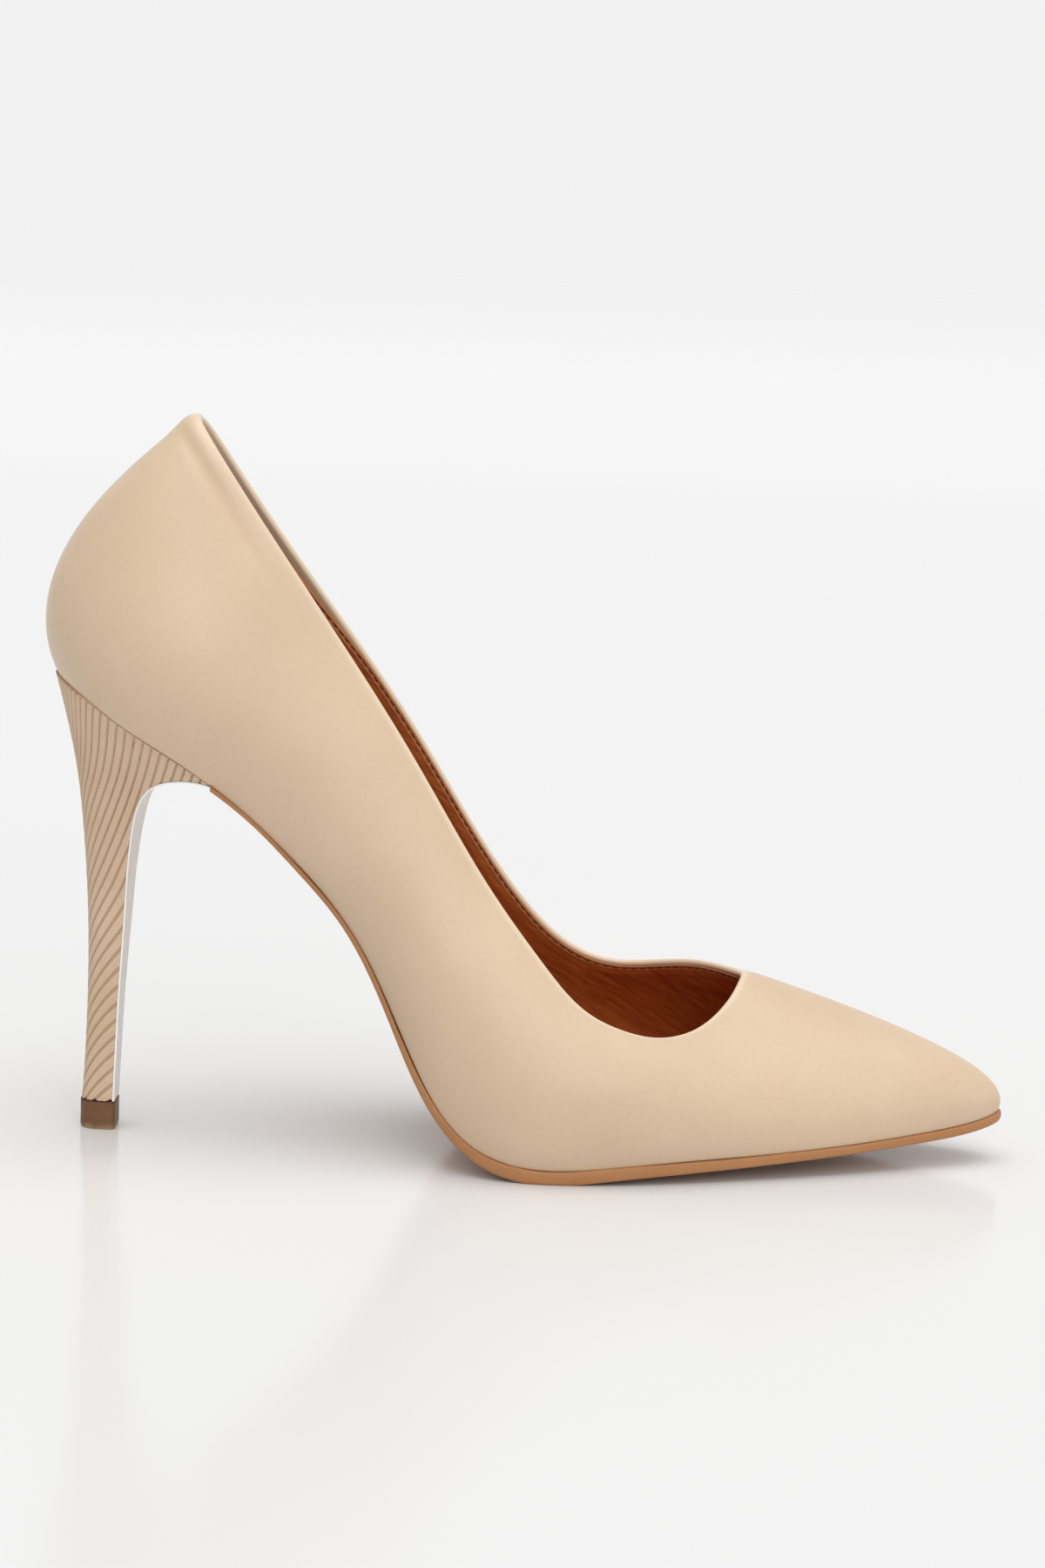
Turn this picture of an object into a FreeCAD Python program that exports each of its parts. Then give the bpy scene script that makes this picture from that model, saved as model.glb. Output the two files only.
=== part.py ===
import FreeCAD, Part
import Sketcher
import os
from bisect import bisect_left
from math import atan2, degrees, pi

# A pointed stiletto pump for the right foot, as an assembly of its real pieces.
# Frame: +X towards the toe, +Y towards the inner (big toe) side, +Z up, millimetres.
# The floor is Z = 0 and the origin is under the middle of the shoe.

Vector = FreeCAD.Vector
doc = FreeCAD.newDocument("high_heel_pump")

# ---------------------------------------------------------------- driving dimensions

DIMENSIONS = [
    ("upper_thickness", 1.1, "upper leather"),
    ("fold_depth", 7.0, "width of upper leather turned in at the topline"),
    ("interlining_thickness", 1.0, "counter, toe puff and side interlinings"),
    ("tape_thickness", 0.5, "topline reinforcing tape"),
    ("tape_width", 4.0, "topline reinforcing tape"),
    ("lining_thickness", 0.8, "lining leather"),
    ("glue_gap", 0.1, "room left between glued layers"),
    ("bed_gap", 0.3, "room left over and under the lasting margin, whose leather is uneven"),
    ("board_thickness", 1.5, "insole board"),
    ("shank_board_thickness", 1.2, "stiff rear board on top of the insole board"),
    ("pad_thickness", 1.5, "foam pads under the sock"),
    ("sock_thickness", 0.8, "leather sock"),
    ("filler_thickness", 0.9, "cork filler between the lasting margins"),
    ("shank_thickness", 0.9, "spring steel shank"),
    ("shank_width", 10.0, "spring steel shank"),
    ("outsole_overhang", 0.7, "outsole edge outside the feather line"),
    ("insole_inset", 3.7, "insole board edge inside the feather line"),
    ("half_span", 60.0, "half of the width that side outlines are extruded over"),
    ("cover_thickness", 1.3, "ribbed cover of the heel"),
    ("breast_strip_thickness", 0.5, "smooth strip on the front of the heel"),
    ("top_piece_height", 6.4, "rubber top piece under the heel"),
    ("top_piece_length", 8.2, "top piece from back to front"),
    ("top_piece_width", 8.6, "top piece across"),
    ("top_piece_back", -98.3, "X of the back of the top piece"),
    ("dowel_radius", 1.7, "steel tube down the middle of the heel"),
    ("dowel_bore", 1.0, "radius of the tube's bore"),
    ("dowel_bottom", 6.6, "Z of the tube's lower end"),
    ("dowel_length", 56.0, "steel tube"),
    ("pin_radius", 0.95, "top piece's pin"),
    ("pin_length", 12.0, "top piece's pin above the top piece"),
    ("pin_head_radius", 2.4, "head of the pin, moulded into the top piece"),
    ("pin_head_height", 1.2, "head of the pin"),
    ("pin_head_bottom", 3.6, "Z of the underside of the pin's head"),
    ("screw_radius", 1.9, "heel screw"),
    ("screw_length", 15.0, "heel screw under its head"),
    ("screw_head_radius", 3.4, "heel screw"),
    ("nail_radius", 0.8, "heel nails"),
    ("nail_length", 9.0, "heel nails under their heads"),
    ("nail_head_radius", 1.9, "heel nails"),
    ("rivet_radius", 1.5, "shank rivets"),
    ("rivet_length", 2.4, "shank rivets under their heads"),
    ("rivet_head_radius", 2.6, "shank rivets"),
    ("head_height", 0.9, "heads of screws, nails and rivets"),
    ("hole_clearance", 0.1, "radial room round fasteners"),
]

sheet = doc.addObject("Spreadsheet::Sheet", "dims")
for line, (alias, value, meaning) in enumerate(DIMENSIONS, start=1):
    sheet.set(f"A{line}", alias)
    sheet.set(f"B{line}", str(value))
    sheet.set(f"C{line}", meaning)
    sheet.setAlias(f"B{line}", alias)
doc.recompute()


def size(alias):
    """Value of a driving dimension."""
    return float(sheet.get(alias))


# ---------------------------------------------------------------- shape of the shoe

# Tread line of the sole from the back of the seat to the toe tip, as (x, z).
# It dips a little under the floor at the ball, where the tread is ground flat.
TREAD_LINE = [
    (-104.8, 101.6), (-96.0, 97.0), (-84.0, 89.6), (-70.0, 81.0), (-60.0, 73.2), (-49.6, 62.7),
    (-39.8, 51.6), (-33.1, 40.8), (-27.0, 28.2), (-20.8, 16.2), (-13.5, 7.1), (-4.5, 1.6),
    (5.0, -0.2), (20.0, 0.8), (45.0, 2.8), (70.0, 4.5), (90.0, 6.3), (101.0, 7.8), (107.1, 9.2),
]

# Thickness of the outsole along the shoe, as (x, thickness). Behind the heel breast it is
# the height from the tread line to the feather line on the heel seat.
SOLE_THICKNESS = [
    (-110.0, 1.0), (-70.0, 1.0), (-45.0, 1.1), (-28.0, 1.3), (-15.0, 2.1), (0.0, 3.2),
    (20.0, 3.0), (45.0, 2.4), (75.0, 2.0), (110.0, 2.2),
]

# Ribs of the upper's outer face, from the feather line to the topline. Each row is the
# feather point (x, y), three shoulder points (x, y, z) and the topline point (x, y, z).
BACK_RIB = [(-104.8, 0.0), (-110.0, 0.0, 112.8), (-109.8, 0.0, 128.8), (-96.5, 0.0, 143.5),
            (-75.2, 0.0, 160.1)]
OUTER_RIBS = [
    [(-99.6, -13.2), (-102.5, -19.5, 110.5), (-101.5, -20.0, 125.0), (-89.5, -15.5, 141.0),
     (-71.8, -8.6, 156.0)],
    [(-87.0, -21.8), (-86.5, -29.5, 102.0), (-82.0, -31.0, 115.5), (-71.0, -23.5, 130.0),
     (-59.5, -13.6, 139.0)],
    [(-69.0, -22.3), (-66.0, -30.0, 89.5), (-60.0, -31.0, 98.5), (-51.0, -25.0, 108.5),
     (-42.0, -17.0, 114.6)],
    [(-50.5, -19.5), (-47.0, -28.0, 71.0), (-40.5, -30.0, 78.0), (-33.0, -26.5, 84.0),
     (-25.0, -20.8, 89.8)],
    [(-33.5, -21.8), (-29.5, -31.0, 48.5), (-23.5, -33.5, 54.0), (-16.5, -31.0, 60.0),
     (-9.5, -25.6, 65.6)],
    [(-18.5, -30.2), (-14.5, -38.5, 23.5), (-9.0, -40.0, 32.0), (-4.0, -37.6, 41.0),
     (3.4, -30.0, 48.8)],
    [(-4.0, -36.3), (-1.0, -42.5, 13.0), (3.5, -42.5, 23.0), (8.5, -40.2, 32.5),
     (12.8, -32.2, 38.7)],
    [(12.0, -37.8), (13.0, -42.5, 12.5), (16.2, -42.8, 21.4), (19.8, -39.4, 30.0),
     (21.5, -31.4, 33.8)],
    [(32.0, -34.4), (32.0, -39.5, 12.5), (32.5, -38.8, 20.8), (31.2, -35.8, 28.4),
     (29.8, -27.8, 31.5)],
    [(52.0, -28.0), (50.5, -33.0, 13.0), (46.5, -31.0, 21.0), (41.4, -27.4, 28.2),
     (37.2, -21.2, 31.8)],
    [(72.0, -20.2), (69.5, -25.0, 14.5), (62.0, -23.5, 22.5), (52.5, -18.5, 29.0),
     (42.6, -13.2, 34.0)],
    [(89.0, -12.8), (87.0, -17.5, 16.0), (77.0, -16.0, 23.5), (61.5, -11.5, 31.0),
     (46.2, -7.6, 37.3)],
    [(101.5, -6.6), (101.5, -10.0, 17.5), (90.0, -9.5, 24.6), (68.5, -5.0, 33.2),
     (48.1, -2.6, 39.9)],
]
TOE_RIB = [(106.9, 0.0), (110.0, 0.0, 19.0), (97.0, 0.6, 25.0), (72.0, 2.0, 34.0),
           (48.7, 1.6, 40.6)]
INNER_RIBS = [
    [(-99.6, 13.2), (-102.5, 19.5, 110.5), (-101.5, 20.0, 125.0), (-89.5, 15.5, 141.0),
     (-71.8, 8.6, 155.6)],
    [(-87.0, 21.8), (-86.5, 29.0, 102.0), (-82.5, 30.5, 115.5), (-72.0, 23.5, 129.5),
     (-60.0, 13.6, 138.2)],
    [(-69.0, 21.8), (-66.5, 28.5, 89.5), (-60.5, 29.5, 98.5), (-52.0, 24.5, 107.5),
     (-43.4, 17.0, 115.2)],
    [(-50.5, 17.6), (-47.5, 25.0, 71.5), (-41.0, 27.5, 78.0), (-34.5, 25.5, 83.0),
     (-26.7, 20.8, 91.0)],
    [(-33.5, 17.6), (-30.5, 26.5, 49.5), (-24.5, 30.0, 54.0), (-18.5, 29.5, 59.0),
     (-11.6, 25.6, 66.2)],
    [(-18.5, 23.8), (-15.5, 33.0, 25.0), (-10.5, 36.5, 32.0), (-5.0, 35.0, 41.0),
     (1.2, 29.0, 48.7)],
    [(-4.0, 31.2), (-1.5, 38.5, 14.0), (3.0, 40.0, 23.0), (8.5, 37.5, 32.5), (11.2, 30.2, 40.2)],
    [(12.0, 36.0), (13.0, 41.5, 13.5), (16.5, 42.5, 22.0), (20.0, 38.0, 31.0), (20.6, 29.4, 37.4)],
    [(32.0, 35.6), (32.0, 41.0, 13.0), (32.5, 41.0, 22.0), (32.0, 35.0, 31.5), (29.6, 26.2, 38.2)],
    [(52.0, 30.0), (50.5, 35.5, 13.0), (47.0, 34.0, 22.5), (42.0, 28.0, 32.0), (37.4, 20.4, 39.7)],
    [(72.0, 21.4), (69.5, 26.5, 14.5), (62.0, 25.5, 23.0), (52.5, 21.0, 32.0), (42.8, 14.8, 40.2)],
    [(89.0, 13.0), (87.0, 17.5, 16.0), (77.0, 16.5, 24.0), (61.5, 13.5, 32.8), (46.2, 9.6, 40.3)],
    [(101.5, 6.4), (101.5, 10.0, 17.5), (90.0, 9.5, 24.8), (68.5, 7.5, 33.7), (48.1, 5.2, 40.5)],
]
RIBS = [BACK_RIB] + OUTER_RIBS + [TOE_RIB] + INNER_RIBS[::-1]
TOE_COLUMN = len(OUTER_RIBS) + 1
COLUMNS = len(RIBS)

# Horizontal sections of the heel, as height and half outline (x, y) from back to front.
# The front of each section lies ahead of the breast, where the side outline cuts it.
HEEL_SECTIONS = [
    (6.5, [(-98.1, 0.0), (-96.9, 2.9), (-93.8, 4.15), (-90.3, 4.3), (-60.0, 6.0)]),
    (20.0, [(-97.4, 0.0), (-96.2, 3.1), (-93.2, 4.4), (-89.9, 4.7), (-60.0, 7.0)]),
    (38.0, [(-97.15, 0.0), (-95.9, 3.4), (-92.8, 5.0), (-89.0, 5.5), (-60.0, 8.0)]),
    (55.0, [(-97.7, 0.0), (-96.2, 4.2), (-92.8, 6.3), (-87.8, 7.3), (-60.0, 10.0)]),
    (70.0, [(-98.9, 0.0), (-96.9, 5.6), (-92.5, 8.8), (-85.8, 11.0), (-60.0, 16.0)]),
    (81.5, [(-100.4, 0.0), (-97.6, 7.6), (-91.5, 12.6), (-82.0, 17.0), (-60.0, 24.5)]),
    (92.4, [(-102.7, 0.0), (-99.4, 10.3), (-93.5, 17.4), (-84.0, 22.4), (-60.0, 27.0)]),
    (104.0, [(-105.7, 0.0), (-101.6, 13.0), (-95.0, 21.0), (-85.0, 26.0), (-60.0, 30.0)]),
]

# Front line of the heel (its breast) in the side view, from the seat down to the top piece.
BREAST_LINE = [
    (-68.4, 80.3), (-73.8, 81.0), (-78.7, 80.3), (-81.9, 78.8), (-84.4, 75.6), (-86.4, 68.5),
    (-87.5, 59.4), (-88.3, 47.0), (-89.1, 35.0), (-89.8, 20.0), (-90.3, 6.5),
]


# ---------------------------------------------------------------- curves and faces

def open_curve(points, parameters=None):
    """Smooth curve through points."""
    curve = Part.BSplineCurve()
    if parameters:
        curve.interpolate(Points=points, Parameters=parameters)
    else:
        curve.interpolate(Points=points)
    return curve


def ring_curve(points):
    """Smooth closed curve through points, with one parameter step between neighbours."""
    curve = Part.BSplineCurve()
    curve.interpolate(Points=points, PeriodicFlag=True, Parameters=list(range(len(points) + 1)))
    return curve


def row_curve(points, closed):
    """Curve of one row of a skin."""
    return ring_curve(points) if closed else open_curve(points, list(range(len(points))))


def row_edges(points, closed):
    """Edges of one row: one edge, or the outer and the inner half of a ring."""
    curve = row_curve(points, closed)
    if not closed:
        return [curve.toShape()]
    half = len(points) // 2
    return [curve.toShape(0, half), curve.toShape(half, len(points))]


def skin(rows, closed, places=None):
    """Smooth faces through rows of points that run round the shoe."""
    around = [open_curve(row, places) if places else row_curve(row, closed) for row in rows]
    columns = zip(*(curve.getPoles() for curve in around))
    upward = [open_curve(list(column), list(range(len(rows)))) for column in columns]
    poles = [curve.getPoles() for curve in upward]
    surface = Part.BSplineSurface()
    surface.buildFromPolesMultsKnots(
        poles, around[0].getMultiplicities(), upward[0].getMultiplicities(),
        around[0].getKnots(), upward[0].getKnots(), closed, False,
        around[0].Degree, upward[0].Degree)
    if not closed:
        return [surface.toShape()]
    half, top = len(rows[0]) // 2, len(rows) - 1
    return [surface.toShape(0, half, 0, top), surface.toShape(half, 2 * half, 0, top)]


def strip(row_a, row_b, closed):
    """Ruled faces between two rows."""
    pairs = zip(row_edges(row_a, closed), row_edges(row_b, closed))
    return [Part.makeRuledSurface(*pair) for pair in pairs]


def solid_from(faces):
    """Closed solid from faces that meet along their edges."""
    shell = Part.Shell(faces)
    shell.sewShape()
    solid = Part.Solid(shell)
    if solid.Volume < 0:
        solid.reverse()
    return solid


def interpolated(table, x):
    """Value at x of a table of (x, value), straight between its rows."""
    place = min(max(bisect_left([row[0] for row in table], x), 1), len(table) - 1)
    (x0, y0), (x1, y1) = table[place - 1], table[place]
    return y0 + (y1 - y0) * (x - x0) / (x1 - x0)


# ---------------------------------------------------------------- the bed under the foot

tread = open_curve([Vector(x, 0, z) for x, z in TREAD_LINE])
TREAD_STEPS = 600
BED_ROUNDS = 12


def tread_samples():
    """Points of the tread line with their upward normals, in order of x."""
    samples = []
    for step in range(TREAD_STEPS + 1):
        place = tread.FirstParameter
        place += (tread.LastParameter - tread.FirstParameter) * step / TREAD_STEPS
        point = tread.value(place)
        tangent = tread.tangent(place)[0]
        samples.append((point.x, point.z, -tangent.z, tangent.x))
    return samples


SAMPLES = tread_samples()
SAMPLE_X = [sample[0] for sample in SAMPLES]


def tread_at(x):
    """Height of the tread line at x, with the line's upward normal."""
    place = min(max(bisect_left(SAMPLE_X, x), 1), TREAD_STEPS)
    before, after = SAMPLES[place - 1], SAMPLES[place]
    share = (x - before[0]) / (after[0] - before[0])
    return [a + (b - a) * share for a, b in zip(before, after)]


def above_feather(x, height):
    """Point (x, z) at a height over the feather surface, square to the tread line near x."""
    _, z, normal_x, normal_z = tread_at(x)
    rise = interpolated(SOLE_THICKNESS, x) + height
    return x + normal_x * rise, z + normal_z * rise


def bed_height(x, height=0.0):
    """Z at x of the surface that lies at a height over the feather surface."""
    guess = x
    for _ in range(BED_ROUNDS):
        guess -= above_feather(guess, height)[0] - x
    return above_feather(guess, height)[1]


# ---------------------------------------------------------------- the upper's wall

def wall_surface():
    """Outer face of the upper: rings round the shoe, joined by fourth-degree ribs."""
    rings = []
    for level in range(5):
        points = []
        for rib in RIBS:
            if level == 0:
                x, y = rib[0]
                points.append(Vector(x, y, bed_height(x)))
            else:
                points.append(Vector(*rib[level]))
        rings.append(ring_curve(points))
    poles = [list(column) for column in zip(*(ring.getPoles() for ring in rings))]
    surface = Part.BSplineSurface()
    surface.buildFromPolesMultsKnots(
        poles, rings[0].getMultiplicities(), [5, 5], rings[0].getKnots(), [0.0, 1.0],
        True, False, rings[0].Degree, 4)
    return surface


wall = wall_surface()
RIB_LENGTHS = [wall.uIso(column % COLUMNS).length() for column in range(COLUMNS + 1)]
INWARD = -1 if wall.normal(TOE_COLUMN, 0.5).x > 0 else 1
HALF_STEP = 2
WALL_ROWS = 9


def wall_point(column, height, depth):
    """Point in the wall at a station, a height from 0 to 1 and a depth under its face."""
    place = column % COLUMNS
    return wall.value(place, height) + wall.normal(place, height) * (INWARD * depth)


def rib_length(column):
    """Length of the wall's rib at a station, from the feather line to the topline."""
    place = column % COLUMNS
    before = int(place)
    return RIB_LENGTHS[before] + (RIB_LENGTHS[before + 1] - RIB_LENGTHS[before]) * (place - before)


def up_from_feather(distance):
    """Height along each rib at a distance over the feather line."""
    return lambda column: distance / rib_length(column)


def down_from_topline(distance):
    """Height along each rib at a distance under the topline."""
    return lambda column: 1.0 - distance / rib_length(column)


def stations(first, last):
    """Stations from one column to another, every half step."""
    count = int((last - first) * HALF_STEP)
    return [first + step / HALF_STEP for step in range(count + 1)]


ALL_ROUND = stations(0, COLUMNS)[:-1]


def wall_rows(columns, low, high, depth):
    """Rows of points of the wall between two heights, at one depth."""
    rows = []
    for step in range(WALL_ROWS):
        share = step / (WALL_ROWS - 1)
        row = []
        for column in columns:
            height = low(column) + (high(column) - low(column)) * share
            row.append(wall_point(column, height, depth))
        rows.append(row)
    return rows


def layer(first, last, low, high, outer_depth, thickness):
    """One layer of the wall as a closed solid, over all or part of the way round."""
    closed = last - first == COLUMNS
    columns = ALL_ROUND if closed else stations(first, last)
    outer = wall_rows(columns, low, high, outer_depth)
    inner = wall_rows(columns, low, high, outer_depth + thickness)
    faces = skin(outer, closed) + skin(inner, closed)
    for end in (0, -1):
        faces += strip(outer[end], inner[end], closed)
        if not closed:
            faces += strip([row[end] for row in outer], [row[end] for row in inner], False)
    return solid_from(faces)


def add_shape(label, shape):
    """Document object that holds a free-form shape."""
    feature = doc.addObject("Part::Feature", label)
    feature.Label = label
    feature.Shape = shape
    return feature


# ---------------------------------------------------------------- upper and its layers

MARGIN_CORNER = 0.35
MARGIN_LENGTH_SCALE = 0.92
MARGIN_WIDTH_SCALE = 0.72


def margin_ring(height):
    """Inner edge of the lasting margin, folded under the foot."""
    points = []
    for column in ALL_ROUND:
        feather = wall.value(column, 0.0)
        x = feather.x * MARGIN_LENGTH_SCALE
        points.append(Vector(x, feather.y * MARGIN_WIDTH_SCALE, bed_height(x, height)))
    return points


def build_upper():
    """Upper leather: wall, turned-in topline and lasting margin in one piece."""
    thickness = size("upper_thickness")
    feather = up_from_feather(0.0)
    topline = down_from_topline(0.0)
    fold = down_from_topline(size("fold_depth"))
    above_margin = up_from_feather(MARGIN_CORNER * thickness)
    outer = wall_rows(ALL_ROUND, feather, topline, 0.0)
    folded = wall_rows(ALL_ROUND, fold, topline, 2 * thickness)
    inner = wall_rows(ALL_ROUND, above_margin, fold, thickness)
    margin_top = margin_ring(thickness)
    margin_bottom = margin_ring(0.0)
    faces = skin(outer, True) + skin(folded, True) + skin(inner, True)
    edges = [(outer[-1], folded[-1]), (folded[0], inner[-1]), (inner[0], margin_top),
             (margin_top, margin_bottom), (margin_bottom, outer[0])]
    for row, neighbour in edges:
        faces += strip(row, neighbour, True)
    return add_shape("upper", solid_from(faces))


# Stations where the hidden layers and the linings meet, and the room round those pieces.
GAP = size("glue_gap")
MIDDLE_DEPTH = size("upper_thickness") + GAP
LINING_DEPTH = MIDDLE_DEPTH + size("interlining_thickness") + GAP
COUNTER_END = 3.0
PUFF_START = 11.0
GRIP_END = 2.0
VAMP_START = 7.5
PIECE_GAP = 0.05
MARGIN_ROOM = 0.4
LINING_ROOM = 0.6
FOLD_ROOM = 0.4
TAPE_ROOM = 0.6
LINING_DROP = 0.9
TAPE_HIGH = size("fold_depth") + FOLD_ROOM
TAPE_LOW = TAPE_HIGH + size("tape_width")
MIDDLE_LOW = up_from_feather(size("upper_thickness") + MARGIN_ROOM)
MIDDLE_HIGH = down_from_topline(TAPE_LOW + TAPE_ROOM)
LINING_LOW = up_from_feather(size("upper_thickness") + LINING_ROOM)
LINING_HIGH = down_from_topline(LINING_DROP)


def build_middle_layers():
    """Stiffeners and interlinings between the upper leather and the lining."""
    spans = {
        "heel_counter": (-COUNTER_END, COUNTER_END),
        "side_interlining_outer": (COUNTER_END + PIECE_GAP, PUFF_START - PIECE_GAP),
        "toe_puff": (PUFF_START, COLUMNS - PUFF_START),
        "side_interlining_inner": (COLUMNS - PUFF_START + PIECE_GAP,
                                   COLUMNS - COUNTER_END - PIECE_GAP),
    }
    thickness = size("interlining_thickness")
    return [add_shape(label, layer(first, last, MIDDLE_LOW, MIDDLE_HIGH, MIDDLE_DEPTH, thickness))
            for label, (first, last) in spans.items()]


def build_topline_tape():
    """Reinforcing tape that runs all round under the turned-in topline."""
    low, high = down_from_topline(TAPE_LOW), down_from_topline(TAPE_HIGH)
    tape = layer(0, COLUMNS, low, high, MIDDLE_DEPTH, size("tape_thickness"))
    return add_shape("topline_tape", tape)


def build_linings():
    """Vamp lining, two quarter linings and the heel grip."""
    spans = {
        "heel_grip": (-GRIP_END, GRIP_END),
        "quarter_lining_outer": (GRIP_END + PIECE_GAP, VAMP_START - PIECE_GAP),
        "vamp_lining": (VAMP_START, COLUMNS - VAMP_START),
        "quarter_lining_inner": (COLUMNS - VAMP_START + PIECE_GAP,
                                 COLUMNS - GRIP_END - PIECE_GAP),
    }
    thickness = size("lining_thickness")
    return [add_shape(label, layer(first, last, LINING_LOW, LINING_HIGH, LINING_DEPTH, thickness))
            for label, (first, last) in spans.items()]


# ---------------------------------------------------------------- flat layers under the foot

# Where the flat layers start and end along the shoe.
REAR_BED_X = -112.0
TOE_X = 112.0
BREAST_X = BREAST_LINE[0][0]
SHANK_REAR_X = -92.0
SHANK_FRONT_X = -12.0
SHANK_BOARD_FRONT_X = -8.0
FILLER_SPAN = (-8.0, 90.0)
BALL_PAD_SPAN = (4.0, 84.0)
HEEL_PAD_SPAN = (-97.0, -66.0)
BAND_STEP = 5.0
PLAN_Z = -1.0


def feather_ring(outset, length_scale=1.0, width_scale=1.0):
    """Plan outline of the feather line, moved out square to itself and scaled."""
    flat = ring_curve([Vector(rib[0][0], rib[0][1], 0) for rib in RIBS])
    points = []
    for column in ALL_ROUND:
        point = flat.value(column)
        tangent = flat.tangent(column)[0]
        x = point.x + tangent.y * outset
        y = point.y - tangent.x * outset
        points.append(Vector(x * length_scale, y * width_scale, PLAN_Z))
    return ring_curve(points)


def band_points(low, high, first_x, last_x):
    """Side outline of a layer between two heights over the feather surface."""
    count = max(int((last_x - first_x) / BAND_STEP), 2)
    places = [first_x + (last_x - first_x) * step / count for step in range(count + 1)]
    lower = [above_feather(x, low(x)) for x in places]
    upper = [above_feather(x, high(x)) for x in places]
    return lower, upper


def band_face(low, high, first_x, last_x):
    """Face of a layer's side outline, in the plane y = 0."""
    lower, upper = band_points(low, high, first_x, last_x)
    lines = [[Vector(x, 0, z) for x, z in row] for row in (lower, upper)]
    edges = [open_curve(line).toShape() for line in lines]
    edges += [Part.makeLine(lines[0][end], lines[1][end]) for end in (0, -1)]
    return Part.Face(Part.Wire(Part.__sortEdges__(edges)))


def extrusion(label, base, direction, forward, reverse="0"):
    """Extrusion of a flat face, as far as the dimensions say."""
    feature = doc.addObject("Part::Extrusion", label)
    feature.Base = base
    feature.DirMode = "Custom"
    feature.Dir = direction
    feature.Solid = True
    feature.setExpression("LengthFwd", forward)
    feature.setExpression("LengthRev", reverse)
    return feature


def common(label, shapes):
    """Common part of several objects."""
    feature = doc.addObject("Part::MultiCommon", label)
    feature.Shapes = shapes
    return feature


def cut(label, base, tool):
    """One object less another."""
    feature = doc.addObject("Part::Cut", label)
    feature.Base = base
    feature.Tool = tool
    return feature


def plan_prism(label, ring):
    """Upright prism over a plan outline."""
    half = ring.LastParameter / 2
    edges = [ring.toShape(0, half), ring.toShape(half, 2 * half)]
    outline = add_shape(label + "_plan", Part.Face(Part.Wire(edges)))
    return extrusion(label + "_plan_prism", outline, Vector(0, 0, 1), "dims.half_span * 2")


def side_prism(label, face):
    """Prism across the shoe over a side outline."""
    outline = add_shape(label + "_side", face)
    return extrusion(label + "_side_prism", outline, Vector(0, 1, 0), "dims.half_span",
                     "dims.half_span")


def flat_layer(label, ring, low, high, first_x, last_x):
    """Layer that follows the bed under the foot, cut to a plan outline."""
    band = band_face(low, high, first_x, last_x)
    return common(label, [plan_prism(label, ring), side_prism(label, band)])


def level(height):
    """Constant height over the feather surface."""
    return lambda x: height


# Heights of the layers over the feather surface, and how far in from its edge they end.
MARGIN_TOP = size("upper_thickness")
BED_GAP = size("bed_gap")
BOARD_LOW = MARGIN_TOP + BED_GAP
BOARD_HIGH = BOARD_LOW + size("board_thickness")
SHANK_BOARD_LOW = BOARD_HIGH + GAP
SHANK_BOARD_HIGH = SHANK_BOARD_LOW + size("shank_board_thickness")
FOREPART_TOP = BOARD_HIGH + size("pad_thickness") + 2 * GAP
SEAT_TOP = SHANK_BOARD_HIGH + size("pad_thickness") + 2 * GAP
SOCK_LINE = [(-112.0, SEAT_TOP), (-66.0, SEAT_TOP), (-52.0, SHANK_BOARD_HIGH + GAP),
             (-10.0, SHANK_BOARD_HIGH + GAP), (4.0, FOREPART_TOP), (112.0, FOREPART_TOP)]
BOARD_RING = -size("insole_inset")
SHANK_BOARD_RING = BOARD_RING - 0.6
SOCK_RING = BOARD_RING - 0.2
PAD_RING = BOARD_RING - 4.0
FILLER_RING = -1.0
FILLER_ROOM = 0.01


def build_outsole():
    """Outsole from the heel breast to the toe, its tread ground flat at the floor."""
    layer_shape = flat_layer("outsole_blank", feather_ring(size("outsole_overhang")),
                             lambda x: -interpolated(SOLE_THICKNESS, x), level(-BED_GAP),
                             BREAST_X, TOE_X)
    ground = doc.addObject("Part::Box", "ground")
    ground.setExpression("Length", "dims.half_span * 4")
    ground.setExpression("Width", "dims.half_span * 2")
    ground.setExpression("Height", "dims.half_span")
    half = size("half_span")
    ground.Placement.Base = Vector(-2 * half, -half, -half)
    return cut("outsole", layer_shape, ground)


def build_bottom_filler():
    """Cork that fills the forepart between the lasting margins."""
    outline = feather_ring(FILLER_RING, MARGIN_LENGTH_SCALE - FILLER_ROOM,
                           MARGIN_WIDTH_SCALE - FILLER_ROOM)
    return flat_layer("bottom_filler", outline, level(GAP),
                      level(GAP + size("filler_thickness")), *FILLER_SPAN)


def build_insole_board():
    """Insole board, full length, on top of the lasting margin."""
    return flat_layer("insole_board_blank", feather_ring(BOARD_RING), level(BOARD_LOW),
                      level(BOARD_HIGH), REAR_BED_X, TOE_X)


def build_shank_board():
    """Stiff board over the rear half of the insole board."""
    return flat_layer("shank_board_blank", feather_ring(SHANK_BOARD_RING),
                      level(SHANK_BOARD_LOW), level(SHANK_BOARD_HIGH), REAR_BED_X,
                      SHANK_BOARD_FRONT_X)


def build_pads():
    """Foam pads under the ball and under the heel."""
    thickness = size("pad_thickness")
    ball_low = BOARD_HIGH + GAP
    seat_low = SHANK_BOARD_HIGH + GAP
    ball = flat_layer("ball_pad", feather_ring(PAD_RING), level(ball_low),
                      level(ball_low + thickness), *BALL_PAD_SPAN)
    seat = flat_layer("heel_pad", feather_ring(PAD_RING), level(seat_low),
                      level(seat_low + thickness), *HEEL_PAD_SPAN)
    return [ball, seat]


def build_sock():
    """Leather sock that the foot stands on."""
    thickness = size("sock_thickness")
    return flat_layer("sock", feather_ring(SOCK_RING), lambda x: interpolated(SOCK_LINE, x),
                      lambda x: interpolated(SOCK_LINE, x) + thickness, REAR_BED_X, TOE_X)


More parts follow.
